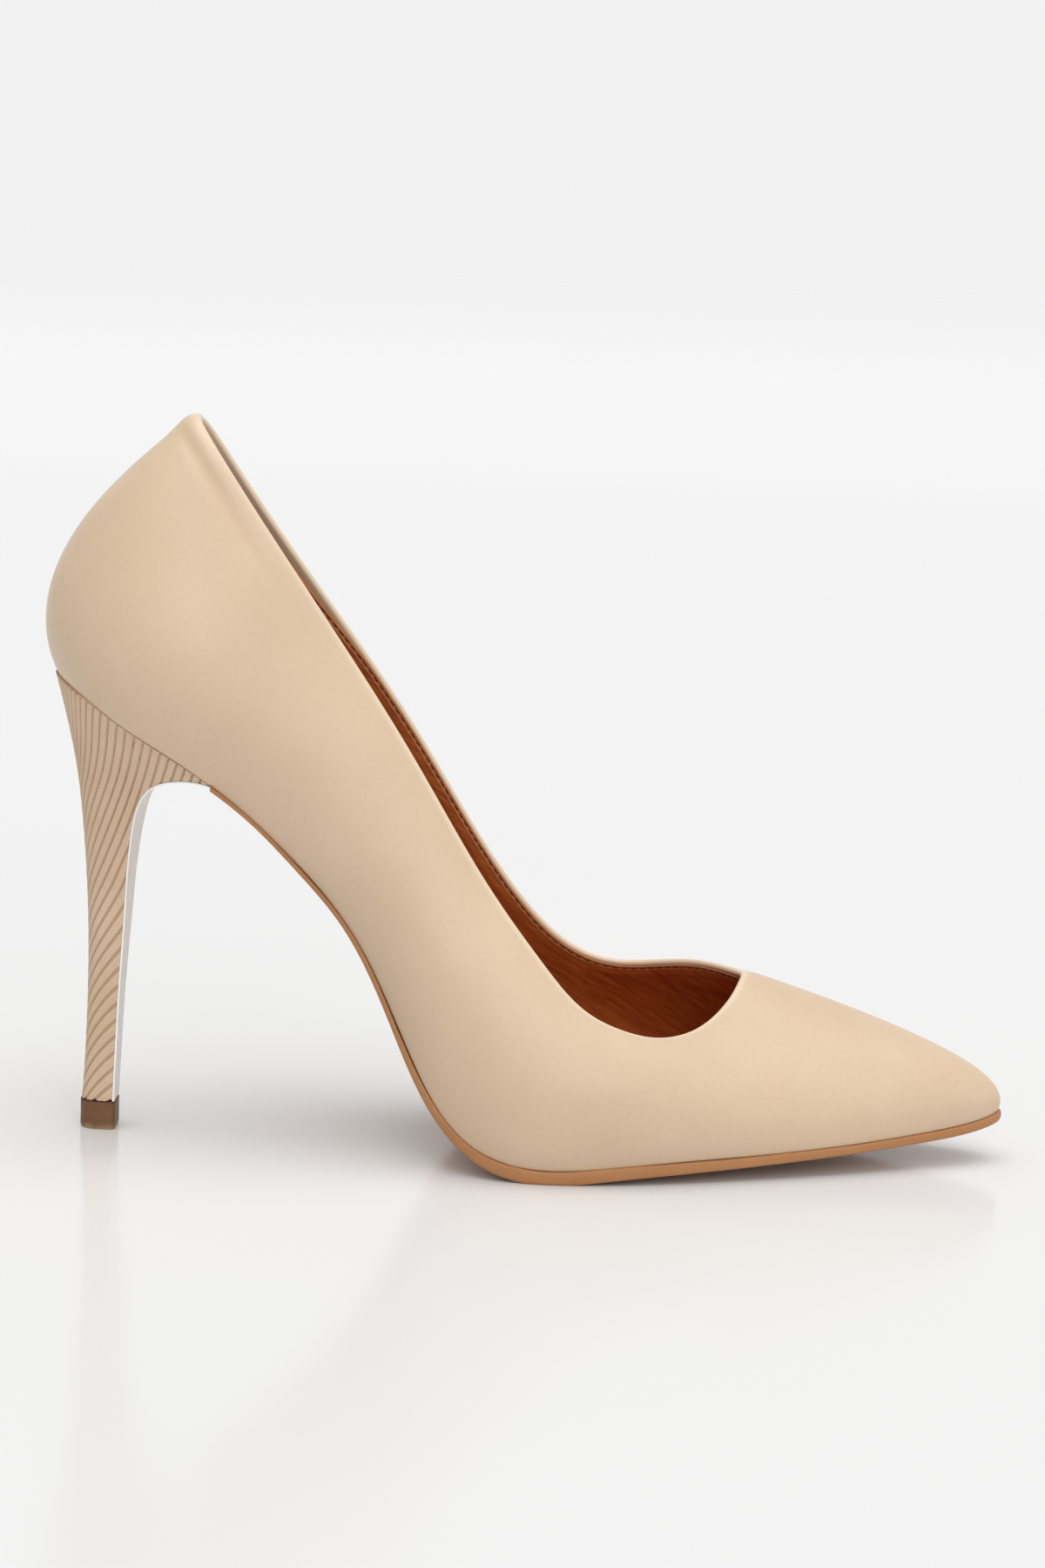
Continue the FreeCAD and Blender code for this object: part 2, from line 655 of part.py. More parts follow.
def build_steel_shank():
    """Spring steel strip that stiffens the waist, under the insole board."""
    strip_box = doc.addObject("Part::Box", "shank_strip")
    strip_box.setExpression("Length", "dims.half_span * 4")
    strip_box.setExpression("Width", "dims.shank_width")
    strip_box.setExpression("Height", "dims.half_span * 2")
    strip_box.Placement.Base = Vector(-2 * size("half_span"), -size("shank_width") / 2, 0)
    band = band_face(level(GAP), level(GAP + size("shank_thickness")), SHANK_REAR_X,
                     SHANK_FRONT_X)
    return common("steel_shank_blank", [strip_box, side_prism("steel_shank", band)])


# ---------------------------------------------------------------- heel

# Parameters of the nine points of a heel section, round the heel from side to side.
HEEL_PLACES = [-6.0, -3.0, -2.0, -1.0, 0.0, 1.0, 2.0, 3.0, 6.0]


def heel_section(height, half, inset):
    """Points of one horizontal section of the heel, moved in from its surface."""
    side = [Vector(x, y, height) for x, y in half]
    outline = [Vector(p.x, -p.y, p.z) for p in side[::-1]] + side[1:]
    curve = open_curve(outline, HEEL_PLACES)
    moved = []
    for place, point in zip(HEEL_PLACES, outline):
        tangent = curve.tangent(place)[0]
        moved.append(point + Vector(tangent.y, -tangent.x, 0) * inset)
    return moved


def heel_form(inset):
    """Solid through the heel's horizontal sections, moved in from its surface."""
    rows = [heel_section(height, half, inset) for height, half in HEEL_SECTIONS]
    faces = skin(rows, False, HEEL_PLACES)
    faces += strip([row[0] for row in rows], [row[-1] for row in rows], False)
    for end in (0, -1):
        outline = open_curve(rows[end], HEEL_PLACES).toShape()
        front = Part.makeLine(rows[end][-1], rows[end][0])
        faces.append(Part.Face(Part.Wire([outline, front])))
    return solid_from(faces)


def moved_line(points, distance):
    """Side line moved square to itself, towards the back of the heel."""
    curve = open_curve([Vector(x, 0, z) for x, z in points])
    moved = []
    for x, z in points:
        tangent = curve.tangent(curve.parameter(Vector(x, 0, z)))[0]
        moved.append((x + tangent.z * distance, z - tangent.x * distance))
    return moved


HEEL_BOTTOM = HEEL_SECTIONS[0][0]
HEEL_REAR_X = -112.0
HEEL_CLEAR_Z = 125.0
SEAT_REAR_X = -109.0
SEAT_STEPS = 8


def seat_line():
    """Top of the heel in the side view, from front to back."""
    step = (SEAT_REAR_X - BREAST_X) / SEAT_STEPS
    return [above_feather(BREAST_X + step * place, -BED_GAP) for place in range(SEAT_STEPS + 1)]


def side_outline(curves, lines):
    """Face in the plane y = 0 inside smooth curves and runs of straight lines."""
    edges = [open_curve([Vector(x, 0, z) for x, z in curve]).toShape() for curve in curves]
    for line in lines:
        points = [Vector(x, 0, z) for x, z in line]
        edges += [Part.makeLine(a, b) for a, b in zip(points, points[1:])]
    return Part.Face(Part.Wire(Part.__sortEdges__(edges)))


def heel_side_face():
    """Side outline of the heel: seat on top, breast in front, cut off over the top piece."""
    seat = seat_line()
    back = [seat[-1], (HEEL_REAR_X, HEEL_BOTTOM), BREAST_LINE[-1]]
    lip = [seat[0], BREAST_LINE[0]]
    return side_outline([seat, BREAST_LINE], [back, lip])


def behind_breast_face(inset):
    """Everything behind the heel's breast once that is moved back by an inset."""
    breast = moved_line(BREAST_LINE, inset)
    back = [breast[-1], (breast[-1][0], 0.0), (HEEL_REAR_X, 0.0), (HEEL_REAR_X, HEEL_CLEAR_Z),
            (breast[0][0], HEEL_CLEAR_Z), breast[0]]
    return side_outline([breast], [back])


def build_heel():
    """Heel core, ribbed cover round it and smooth strip on its breast."""
    cover = size("cover_thickness")
    front = size("breast_strip_thickness")
    outside = add_shape("heel_outside", heel_form(0.0))
    cover_inside = add_shape("heel_cover_inside", heel_form(cover))
    core_outside = add_shape("heel_core_outside", heel_form(cover + GAP))
    full_side = side_prism("heel_full", heel_side_face())
    core_side = side_prism("heel_core", behind_breast_face(front + GAP))
    strip_side = side_prism("heel_strip", behind_breast_face(front))
    hollow = cut("heel_cover_blank", outside, cover_inside)
    heel_cover = common("heel_cover", [hollow, full_side, core_side])
    core = common("heel_core_blank", [core_outside, full_side, core_side])
    outer_block = common("heel_outer_block", [outside, full_side])
    breast = cut("heel_breast_strip", outer_block, strip_side)
    return heel_cover, core, breast


# ---------------------------------------------------------------- heel hardware

HEEL_AXIS = "dims.top_piece_back + dims.top_piece_width / 2"

# A sketch's own axes, as its constraints number them.
LEVEL_AXIS = -1
UP_AXIS = -2


def origin_plane(body, role):
    """One of a body's own origin planes."""
    return [plane for plane in body.Origin.OriginFeatures if plane.Role == role][0]


def sketch_on(body, role, name):
    """Sketch on one of a body's origin planes."""
    sketch = body.newObject("Sketcher::SketchObject", name)
    sketch.AttachmentSupport = [(origin_plane(body, role), "")]
    sketch.MapMode = "FlatFace"
    return sketch


def bind(sketch, index, name, expression):
    """Name a sketch constraint and bind it to the dimensions."""
    sketch.renameConstraint(index, name)
    sketch.setExpression("Constraints." + name, expression)


def top_piece_sketch(body):
    """Plan outline of the top piece: round at the back and straight at the breast."""
    sketch = sketch_on(body, "XY_Plane", "top_piece_outline")
    half = size("top_piece_width") / 2
    front = size("top_piece_length") - half
    arc = Part.Arc(Part.Circle(Vector(0, 0, 0), Vector(0, 0, 1), half), pi / 2, 3 * pi / 2)
    corners = [Vector(0, -half, 0), Vector(front, -half, 0), Vector(front, half, 0),
               Vector(0, half, 0)]
    sketch.addGeometry(arc)
    for start, end in zip(corners, corners[1:]):
        sketch.addGeometry(Part.LineSegment(start, end))
    sketch.addConstraint(Sketcher.Constraint("Tangent", 0, 2, 1, 1))
    sketch.addConstraint(Sketcher.Constraint("Coincident", 1, 2, 2, 1))
    sketch.addConstraint(Sketcher.Constraint("Coincident", 2, 2, 3, 1))
    sketch.addConstraint(Sketcher.Constraint("Tangent", 3, 2, 0, 1))
    sketch.addConstraint(Sketcher.Constraint("Horizontal", 1))
    sketch.addConstraint(Sketcher.Constraint("Vertical", 2))
    sketch.addConstraint(Sketcher.Constraint("Coincident", 0, 3, -1, 1))
    radius = sketch.addConstraint(Sketcher.Constraint("Radius", 0, half))
    bind(sketch, radius, "back_radius", "dims.top_piece_width / 2")
    reach = sketch.addConstraint(Sketcher.Constraint("DistanceX", 0, 3, 1, 2, front))
    bind(sketch, reach, "front_reach", "dims.top_piece_length - dims.top_piece_width / 2")
    return sketch


def round_pocket(body, label, radius, length):
    """Round pocket in a body, upward from the underside of the pin's head."""
    sketch = sketch_on(body, "XY_Plane", label + "_outline")
    sketch.addGeometry(Part.Circle(Vector(0, 0, 0), Vector(0, 0, 1), size(radius)))
    sketch.addConstraint(Sketcher.Constraint("Coincident", 0, 3, -1, 1))
    made = sketch.addConstraint(Sketcher.Constraint("Radius", 0, size(radius)))
    bind(sketch, made, label + "_radius", f"dims.{radius}")
    sketch.AttachmentOffset.Base = Vector(0, 0, size("pin_head_bottom"))
    pocket = body.newObject("PartDesign::Pocket", label)
    pocket.Profile = sketch
    pocket.setExpression("Length", f"dims.{length}")
    pocket.Reversed = True


def build_top_piece():
    """Rubber top piece: a D-shaped block with a socket for the head of its pin."""
    body = doc.addObject("PartDesign::Body", "top_piece")
    sketch = top_piece_sketch(body)
    block = body.newObject("PartDesign::Pad", "top_piece_block")
    block.Profile = sketch
    block.setExpression("Length", "dims.top_piece_height")
    doc.recompute()
    round_pocket(body, "pin_socket", "pin_head_radius", "pin_head_height")
    round_pocket(body, "pin_neck", "pin_radius", "top_piece_height")
    doc.recompute()
    body.setExpression("Placement.Base.x", HEEL_AXIS)
    return body


def turned(label, outline):
    """Body turned round its own Z axis from a half outline of (radius, height) expressions."""
    body = doc.addObject("PartDesign::Body", label)
    sketch = sketch_on(body, "XZ_Plane", label + "_outline")
    places = [(dims_value(radius), dims_value(height)) for radius, height in outline]
    count = len(places)
    for index, (radius, height) in enumerate(places):
        end = places[(index + 1) % count]
        sketch.addGeometry(Part.LineSegment(Vector(radius, height, 0), Vector(end[0], end[1], 0)))
    for index in range(count):
        following = (index + 1) % count
        sketch.addConstraint(Sketcher.Constraint("Coincident", index, 2, following, 1))
    for index, (radius, height) in enumerate(outline):
        for kind, axis, value, text in (("DistanceX", UP_AXIS, places[index][0], radius),
                                        ("DistanceY", LEVEL_AXIS, places[index][1], height)):
            if value == 0:
                sketch.addConstraint(Sketcher.Constraint("PointOnObject", index, 1, axis))
            else:
                made = sketch.addConstraint(Sketcher.Constraint(kind, -1, 1, index, 1, value))
                bind(sketch, made, f"{kind}_{index}", text)
    solid = body.newObject("PartDesign::Revolution", label + "_solid")
    solid.Profile = sketch
    solid.ReferenceAxis = (sketch, ["V_Axis"])
    solid.Angle = 360
    doc.recompute()
    return body


def dims_value(expression):
    """Number that an expression over the dimensions gives."""
    return float(sheet.evalExpression(expression.replace("dims.", "")))


def build_pin():
    """Steel pin whose head sits in the top piece and whose shaft is pressed into the dowel."""
    pin = turned("top_piece_pin", [
        ("0", "0"), ("dims.pin_head_radius", "0"),
        ("dims.pin_head_radius", "dims.pin_head_height"),
        ("dims.pin_radius", "dims.pin_head_height"),
        ("dims.pin_radius", "dims.pin_head_height + dims.pin_length"),
        ("0", "dims.pin_head_height + dims.pin_length")])
    pin.setExpression("Placement.Base.x", HEEL_AXIS)
    pin.setExpression("Placement.Base.z", "dims.pin_head_bottom")
    return pin


def build_dowel():
    """Steel tube that stiffens the slender part of the heel."""
    dowel = turned("heel_dowel", [
        ("dims.dowel_bore", "0"), ("dims.dowel_radius", "0"),
        ("dims.dowel_radius", "dims.dowel_length"), ("dims.dowel_bore", "dims.dowel_length")])
    dowel.setExpression("Placement.Base.x", HEEL_AXIS)
    dowel.setExpression("Placement.Base.z", "dims.dowel_bottom")
    return dowel


# ---------------------------------------------------------------- fasteners, seat and waist

SCREW_PLACES = [(-85.5, 0.0)]
NAIL_PLACES = [(-88.0, -8.5), (-88.0, 8.5), (-79.0, -9.0), (-79.0, 9.0)]
RIVET_PLACES = [(-60.0, 0.0), (-22.0, 0.0)]

# Depth of the screw and nail holes, how far a hole overruns, and the length of a
# fastener's point in shaft radii.
HOLE_LOW = -14.0
HOLE_OVERRUN = 1.0
POINT_LENGTH = 1.2


def on_bed(x, y, height):
    """Placement at a height over the feather surface, its Z axis square to that surface."""
    _, _, normal_x, normal_z = tread_at(x)
    centre_x, centre_z = above_feather(x, height)
    turn = FreeCAD.Rotation(Vector(0, 1, 0), degrees(atan2(normal_x, normal_z)))
    return FreeCAD.Placement(Vector(centre_x, y, centre_z), turn)


def fastener(label, kind, x, y):
    """Pointed fastener of a kind, its head resting on the insole board."""
    shaft, length = f"dims.{kind}_radius", f"dims.{kind}_length"
    head, top = f"dims.{kind}_head_radius", f"{length} + dims.head_height"
    body = turned(label, [("0", "0"), (shaft, f"{shaft} * {POINT_LENGTH}"), (shaft, length),
                          (head, length), (head, top), ("0", top)])
    body.Placement = on_bed(x, y, BOARD_HIGH + size("hole_clearance") - size(f"{kind}_length"))
    return body


def hole(label, radius, x, y, low, high):
    """Cylinder that cuts a hole square to the bed, from one height to another."""
    tool = doc.addObject("Part::Cylinder", label)
    tool.setExpression("Radius", f"dims.{radius} + dims.hole_clearance")
    tool.Height = high - low
    tool.Placement = on_bed(x, y, low)
    return tool


def compound(label, shapes):
    """Group of separate solids."""
    group = doc.addObject("Part::Compound", label)
    group.Links = shapes
    return group


def holes(label, kinds, heads, low, high):
    """Cutting tools for every fastener of some kinds, for their shafts or their heads."""
    places = {"screw": SCREW_PLACES, "nail": NAIL_PLACES, "rivet": RIVET_PLACES}
    tools = []
    for kind in kinds:
        radius = f"{kind}_head_radius" if heads else f"{kind}_radius"
        for number, (x, y) in enumerate(places[kind], start=1):
            tools.append(hole(f"{label}_{kind}_{number}", radius, x, y, low, high))
    return compound(label, tools)


def build_fasteners():
    """Heel screw, heel nails and shank rivets."""
    screw = fastener("heel_screw", "screw", *SCREW_PLACES[0])
    nails = [fastener(f"heel_nail_{number}", "nail", x, y)
             for number, (x, y) in enumerate(NAIL_PLACES, start=1)]
    rivets = [fastener(f"shank_rivet_{number}", "rivet", x, y)
              for number, (x, y) in enumerate(RIVET_PLACES, start=1)]
    return [screw, compound("heel_nails", nails), compound("shank_rivets", rivets)]


def dowel_hole():
    """Bore of the heel core for the steel tube."""
    tool = doc.addObject("Part::Cylinder", "dowel_hole")
    tool.setExpression("Radius", "dims.dowel_radius + dims.hole_clearance")
    tool.setExpression("Height", "dims.dowel_length + dims.dowel_bottom")
    tool.setExpression("Placement.Base.x", HEEL_AXIS)
    return tool


# ---------------------------------------------------------------- assembly and export

def build_all():
    """Every sub-part of the shoe."""
    parts = [build_upper(), build_topline_tape()] + build_middle_layers() + build_linings()
    parts += [build_outsole(), build_bottom_filler(), build_sock()] + build_pads()
    board_holes = holes("board_holes", ["screw", "nail", "rivet"], False, -HOLE_OVERRUN,
                        BOARD_HIGH + HOLE_OVERRUN)
    parts.append(cut("insole_board", build_insole_board(), board_holes))
    head_holes = holes("head_holes", ["screw", "nail", "rivet"], True, BOARD_HIGH,
                       SHANK_BOARD_HIGH + HOLE_OVERRUN)
    parts.append(cut("shank_board", build_shank_board(), head_holes))
    shank_holes = holes("shank_holes", ["screw", "rivet"], False, -HOLE_OVERRUN, MARGIN_TOP)
    parts.append(cut("steel_shank", build_steel_shank(), shank_holes))
    heel_cover, core, breast = build_heel()
    core_holes = holes("core_holes", ["screw", "nail"], False, HOLE_LOW, HOLE_OVERRUN)
    parts.append(cut("heel_core", core, compound("core_tools", [core_holes, dowel_hole()])))
    parts += [heel_cover, breast, build_top_piece(), build_pin(), build_dowel()]
    return parts + build_fasteners()


def check(parts):
    """Stop if the document or a sub-part is not sound."""
    for item in doc.Objects:
        if "Invalid" in item.State or "Error" in item.State:
            raise RuntimeError(f"{item.Label}: {item.State}")
    for item in parts:
        if item.Shape.isNull() or not item.Shape.isValid() or not item.Shape.Solids:
            raise RuntimeError(f"{item.Label}: no valid solid")


def export(parts):
    """Write one STEP file for each sub-part."""
    os.makedirs("parts", exist_ok=True)
    for item in parts:
        item.Shape.exportStep(f"parts/{item.Label}.step")
        box = item.Shape.optimalBoundingBox()
        print(f"{item.Label:24s} solids {len(item.Shape.Solids)} volume {item.Shape.Volume:9.1f}",
              f"x {box.XMin:7.2f} {box.XMax:7.2f} y {box.YMin:6.2f} {box.YMax:6.2f}",
              f"z {box.ZMin:6.2f} {box.ZMax:6.2f}")


assembly = build_all()
doc.recompute()
check(assembly)
export(assembly)
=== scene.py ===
import math

import bmesh
import bpy
import numpy as np
from mathutils import Matrix, Vector, noise


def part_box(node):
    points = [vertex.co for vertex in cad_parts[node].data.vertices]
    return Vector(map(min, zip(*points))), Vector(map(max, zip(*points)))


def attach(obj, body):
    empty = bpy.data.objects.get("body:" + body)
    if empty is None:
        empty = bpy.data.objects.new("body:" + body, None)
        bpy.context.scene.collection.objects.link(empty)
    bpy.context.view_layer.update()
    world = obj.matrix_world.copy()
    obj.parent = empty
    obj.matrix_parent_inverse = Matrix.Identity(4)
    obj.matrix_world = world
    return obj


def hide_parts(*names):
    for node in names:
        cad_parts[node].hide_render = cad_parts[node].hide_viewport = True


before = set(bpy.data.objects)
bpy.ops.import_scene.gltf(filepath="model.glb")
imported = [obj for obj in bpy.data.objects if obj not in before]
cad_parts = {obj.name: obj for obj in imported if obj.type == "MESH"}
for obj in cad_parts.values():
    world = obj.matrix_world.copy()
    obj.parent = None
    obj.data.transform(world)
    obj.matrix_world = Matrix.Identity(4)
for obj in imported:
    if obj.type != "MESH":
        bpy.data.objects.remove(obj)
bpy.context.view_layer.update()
scene = bpy.context.scene
ROOT = "root"
MM = 0.001
MERGE = 1e-6
SHARP_ANGLE = math.radians(50.0)

# ---------------- shape tables, in millimetres

# Tread line of the sole from the back of the seat to the toe tip, as (x, z).
TREAD_LINE = [
    (-104.8, 101.6), (-96.0, 97.0), (-84.0, 89.6), (-70.0, 81.0), (-60.0, 73.2), (-49.6, 62.7),
    (-39.8, 51.6), (-33.1, 40.8), (-27.0, 28.2), (-20.8, 16.2), (-13.5, 7.1), (-4.5, 1.6),
    (5.0, -0.2), (20.0, 0.8), (45.0, 2.8), (70.0, 4.5), (90.0, 6.3), (101.0, 7.8), (107.1, 9.2),
]

# Thickness of the outsole, as (x, thickness), and height of the sock over the feather surface.
SOLE_THICKNESS = [
    (-110.0, 1.0), (-70.0, 1.0), (-45.0, 1.1), (-28.0, 1.3), (-15.0, 2.1), (0.0, 3.2),
    (20.0, 3.0), (45.0, 2.4), (75.0, 2.0), (110.0, 2.2),
]
SOCK_LINE = [(-112.0, 6.0), (-66.0, 6.0), (-52.0, 4.4), (-10.0, 4.4), (4.0, 4.6), (112.0, 4.6)]

# Ribs of the upper's outer face: feather point (x, y), three shoulder points and the topline
# point, as (x, y, z). The outer side faces -Y and the inner side +Y.
BACK_RIB = [(-104.8, 0.0), (-110.0, 0.0, 112.8), (-109.8, 0.0, 128.8), (-96.5, 0.0, 143.5),
            (-75.2, 0.0, 160.1)]
OUTER_RIBS = [
    [(-99.6, -13.2), (-102.5, -19.5, 110.5), (-101.5, -20.0, 125.0), (-89.5, -15.5, 141.0),
     (-71.8, -8.6, 156.0)],
    [(-87.0, -21.8), (-86.5, -29.5, 102.0), (-82.0, -31.0, 115.5), (-71.0, -23.5, 130.0),
     (-59.5, -13.6, 139.0)],
    [(-69.0, -22.3), (-66.0, -30.0, 89.5), (-60.0, -31.0, 98.5), (-51.0, -25.0, 108.5),
     (-42.0, -17.0, 114.6)],
    [(-50.5, -19.5), (-47.0, -28.0, 71.0), (-40.5, -30.0, 78.0), (-33.0, -26.5, 84.0),
     (-25.0, -20.8, 89.8)],
    [(-33.5, -21.8), (-29.5, -31.0, 48.5), (-23.5, -33.5, 54.0), (-16.5, -31.0, 60.0),
     (-9.5, -25.6, 65.6)],
    [(-18.5, -30.2), (-14.5, -38.5, 23.5), (-9.0, -40.0, 32.0), (-4.0, -37.6, 41.0),
     (3.4, -30.0, 48.8)],
    [(-4.0, -36.3), (-1.0, -42.5, 13.0), (3.5, -42.5, 23.0), (8.5, -40.2, 32.5),
     (12.8, -32.2, 38.7)],
    [(12.0, -37.8), (13.0, -42.5, 12.5), (16.2, -42.8, 21.4), (19.8, -39.4, 30.0),
     (21.5, -31.4, 33.8)],
    [(32.0, -34.4), (32.0, -39.5, 12.5), (32.5, -38.8, 20.8), (31.2, -35.8, 28.4),
     (29.8, -27.8, 31.5)],
    [(52.0, -28.0), (50.5, -33.0, 13.0), (46.5, -31.0, 21.0), (41.4, -27.4, 28.2),
     (37.2, -21.2, 31.8)],
    [(72.0, -20.2), (69.5, -25.0, 14.5), (62.0, -23.5, 22.5), (52.5, -18.5, 29.0),
     (42.6, -13.2, 34.0)],
    [(89.0, -12.8), (87.0, -17.5, 16.0), (77.0, -16.0, 23.5), (61.5, -11.5, 31.0),
     (46.2, -7.6, 37.3)],
    [(101.5, -6.6), (101.5, -10.0, 17.5), (90.0, -9.5, 24.6), (68.5, -5.0, 33.2),
     (48.1, -2.6, 39.9)],
]
TOE_RIB = [(106.9, 0.0), (110.0, 0.0, 19.0), (97.0, 0.6, 25.0), (72.0, 2.0, 34.0),
           (48.7, 1.6, 40.6)]
INNER_RIBS = [
    [(-99.6, 13.2), (-102.5, 19.5, 110.5), (-101.5, 20.0, 125.0), (-89.5, 15.5, 141.0),
     (-71.8, 8.6, 155.6)],
    [(-87.0, 21.8), (-86.5, 29.0, 102.0), (-82.5, 30.5, 115.5), (-72.0, 23.5, 129.5),
     (-60.0, 13.6, 138.2)],
    [(-69.0, 21.8), (-66.5, 28.5, 89.5), (-60.5, 29.5, 98.5), (-52.0, 24.5, 107.5),
     (-43.4, 17.0, 115.2)],
    [(-50.5, 17.6), (-47.5, 25.0, 71.5), (-41.0, 27.5, 78.0), (-34.5, 25.5, 83.0),
     (-26.7, 20.8, 91.0)],
    [(-33.5, 17.6), (-30.5, 26.5, 49.5), (-24.5, 30.0, 54.0), (-18.5, 29.5, 59.0),
     (-11.6, 25.6, 66.2)],
    [(-18.5, 23.8), (-15.5, 33.0, 25.0), (-10.5, 36.5, 32.0), (-5.0, 35.0, 41.0),
     (1.2, 29.0, 48.7)],
    [(-4.0, 31.2), (-1.5, 38.5, 14.0), (3.0, 40.0, 23.0), (8.5, 37.5, 32.5), (11.2, 30.2, 40.2)],
    [(12.0, 36.0), (13.0, 41.5, 13.5), (16.5, 42.5, 22.0), (20.0, 38.0, 31.0), (20.6, 29.4, 37.4)],
    [(32.0, 35.6), (32.0, 41.0, 13.0), (32.5, 41.0, 22.0), (32.0, 35.0, 31.5), (29.6, 26.2, 38.2)],
    [(52.0, 30.0), (50.5, 35.5, 13.0), (47.0, 34.0, 22.5), (42.0, 28.0, 32.0), (37.4, 20.4, 39.7)],
    [(72.0, 21.4), (69.5, 26.5, 14.5), (62.0, 25.5, 23.0), (52.5, 21.0, 32.0), (42.8, 14.8, 40.2)],
    [(89.0, 13.0), (87.0, 17.5, 16.0), (77.0, 16.5, 24.0), (61.5, 13.5, 32.8), (46.2, 9.6, 40.3)],
    [(101.5, 6.4), (101.5, 10.0, 17.5), (90.0, 9.5, 24.8), (68.5, 7.5, 33.7), (48.1, 5.2, 40.5)],
]
RIBS = [BACK_RIB] + OUTER_RIBS + [TOE_RIB] + INNER_RIBS[::-1]
TOE_COLUMN = len(OUTER_RIBS) + 1
COLUMNS = len(RIBS)

# Horizontal sections of the heel: height and half outline (x, y) from back to front.
HEEL_SECTIONS = [
    (6.5, [(-98.1, 0.0), (-96.9, 2.9), (-93.8, 4.15), (-90.3, 4.3), (-60.0, 6.0)]),
    (20.0, [(-97.4, 0.0), (-96.2, 3.1), (-93.2, 4.4), (-89.9, 4.7), (-60.0, 7.0)]),
    (38.0, [(-97.15, 0.0), (-95.9, 3.4), (-92.8, 5.0), (-89.0, 5.5), (-60.0, 8.0)]),
    (55.0, [(-97.7, 0.0), (-96.2, 4.2), (-92.8, 6.3), (-87.8, 7.3), (-60.0, 10.0)]),
    (70.0, [(-98.9, 0.0), (-96.9, 5.6), (-92.5, 8.8), (-85.8, 11.0), (-60.0, 16.0)]),
    (81.5, [(-100.4, 0.0), (-97.6, 7.6), (-91.5, 12.6), (-82.0, 17.0), (-60.0, 24.5)]),
    (92.4, [(-102.7, 0.0), (-99.4, 10.3), (-93.5, 17.4), (-84.0, 22.4), (-60.0, 27.0)]),
    (104.0, [(-105.7, 0.0), (-101.6, 13.0), (-95.0, 21.0), (-85.0, 26.0), (-60.0, 30.0)]),
]
HEEL_PLACES = [-6.0, -3.0, -2.0, -1.0, 0.0, 1.0, 2.0, 3.0, 6.0]

# Front line of the heel (its breast) in the side view, from the seat down to the top piece.
BREAST_LINE = [
    (-68.4, 80.3), (-73.8, 81.0), (-78.7, 80.3), (-81.9, 78.8), (-84.4, 75.6), (-86.4, 68.5),
    (-87.5, 59.4), (-88.3, 47.0), (-89.1, 35.0), (-89.8, 20.0), (-90.3, 6.5),
]
BREAST_X = -68.4

# Thickness of the upper, depth of the lining under the upper's face, and the topline's fold.
UPPER_THICKNESS = 1.1
LINING_DEPTH = 2.3
LINING_THICKNESS = 0.8
FOLD_DEPTH = 7.0
MARGIN_SCALE = (0.92, 0.72)


# ---------------- curves

def smoothstep(value):
    """Smooth rise from 0 to 1."""
    value = np.clip(value, 0.0, 1.0)
    return value * value * (3.0 - 2.0 * value)


def bell(value, middle, width):
    """Bump of height 1 round a middle."""
    return np.exp(-((value - middle) / width) ** 2)


def unit(vectors):
    """Vectors scaled to a length of 1."""
    return vectors / np.linalg.norm(vectors, axis=-1, keepdims=True)


def right_of(along):
    """Directions to the right of directions in a plane."""
    along = unit(along)
    return np.stack([along[:, 1], -along[:, 0]], axis=1)


def end_slope(places, points):
    """Slope at the first of four points of the cubic through them."""
    powers = np.vander(places - places[0], 4, increasing=True)
    return np.linalg.solve(powers, points)[1]


def spline_bends(places, points, closed):
    """Second derivatives at the points of the cubic spline through them."""
    steps = np.diff(places)
    slopes = np.diff(points, axis=0) / steps[:, None]
    count = len(places)
    matrix = np.zeros((count, count))
    right = np.zeros_like(points)
    for row in range(1, count - 1):
        matrix[row, row - 1:row + 2] = steps[row - 1], 2 * (steps[row - 1] + steps[row]), steps[row]
        right[row] = 6 * (slopes[row] - slopes[row - 1])
    if closed:
        matrix[0, 0], matrix[0, -1] = 1, -1
        matrix[-1, 0], matrix[-1, 1] = 2 * steps[0], steps[0]
        matrix[-1, -2], matrix[-1, -1] = steps[-1], 2 * steps[-1]
        right[-1] = 6 * (slopes[0] - slopes[-1])
    else:
        matrix[0, :2] = 2 * steps[0], steps[0]
        right[0] = 6 * (slopes[0] - end_slope(places[:4], points[:4]))
        matrix[-1, -2:] = steps[-1], 2 * steps[-1]
        right[-1] = 6 * (end_slope(places[:-5:-1], points[:-5:-1]) - slopes[-1])
    return np.linalg.solve(matrix, right)


def spline(places, points, closed=False):
    """Function that evaluates the cubic spline through points, as open or closed curve."""
    places = np.asarray(places, float)
    points = np.asarray(points, float)
    if closed:
        points = np.concatenate([points, points[:1]])
    bends = spline_bends(places, points, closed)
    steps = np.diff(places)

    def evaluate(where):
        where = np.asarray(where, float)
        if closed:
            where = places[0] + np.mod(where - places[0], places[-1] - places[0])
        index = np.clip(np.searchsorted(places, where, side="right") - 1, 0, len(steps) - 1)
        step = steps[index][..., None]
        left = (places[index + 1] - where)[..., None]
        gone = (where - places[index])[..., None]
        value = (bends[index] * left ** 3 + bends[index + 1] * gone ** 3) / (6 * step)
        value += (points[index] / step - bends[index] * step / 6) * left
        value += (points[index + 1] / step - bends[index + 1] * step / 6) * gone
        return value
    return evaluate


def chord_places(points):
    """Distance along the straight runs between points."""
    runs = np.linalg.norm(np.diff(np.asarray(points, float), axis=0), axis=1)
    return np.concatenate([[0.0], np.cumsum(runs)])


def table(rows, where):
    """Value of a table of (x, value), on straight lines between its rows."""
    rows = np.asarray(rows, float)
    return np.interp(where, rows[:, 0], rows[:, 1])


# ---------------- the bed under the foot

TREAD_SAMPLES = 3000
BED_STEPS = 12


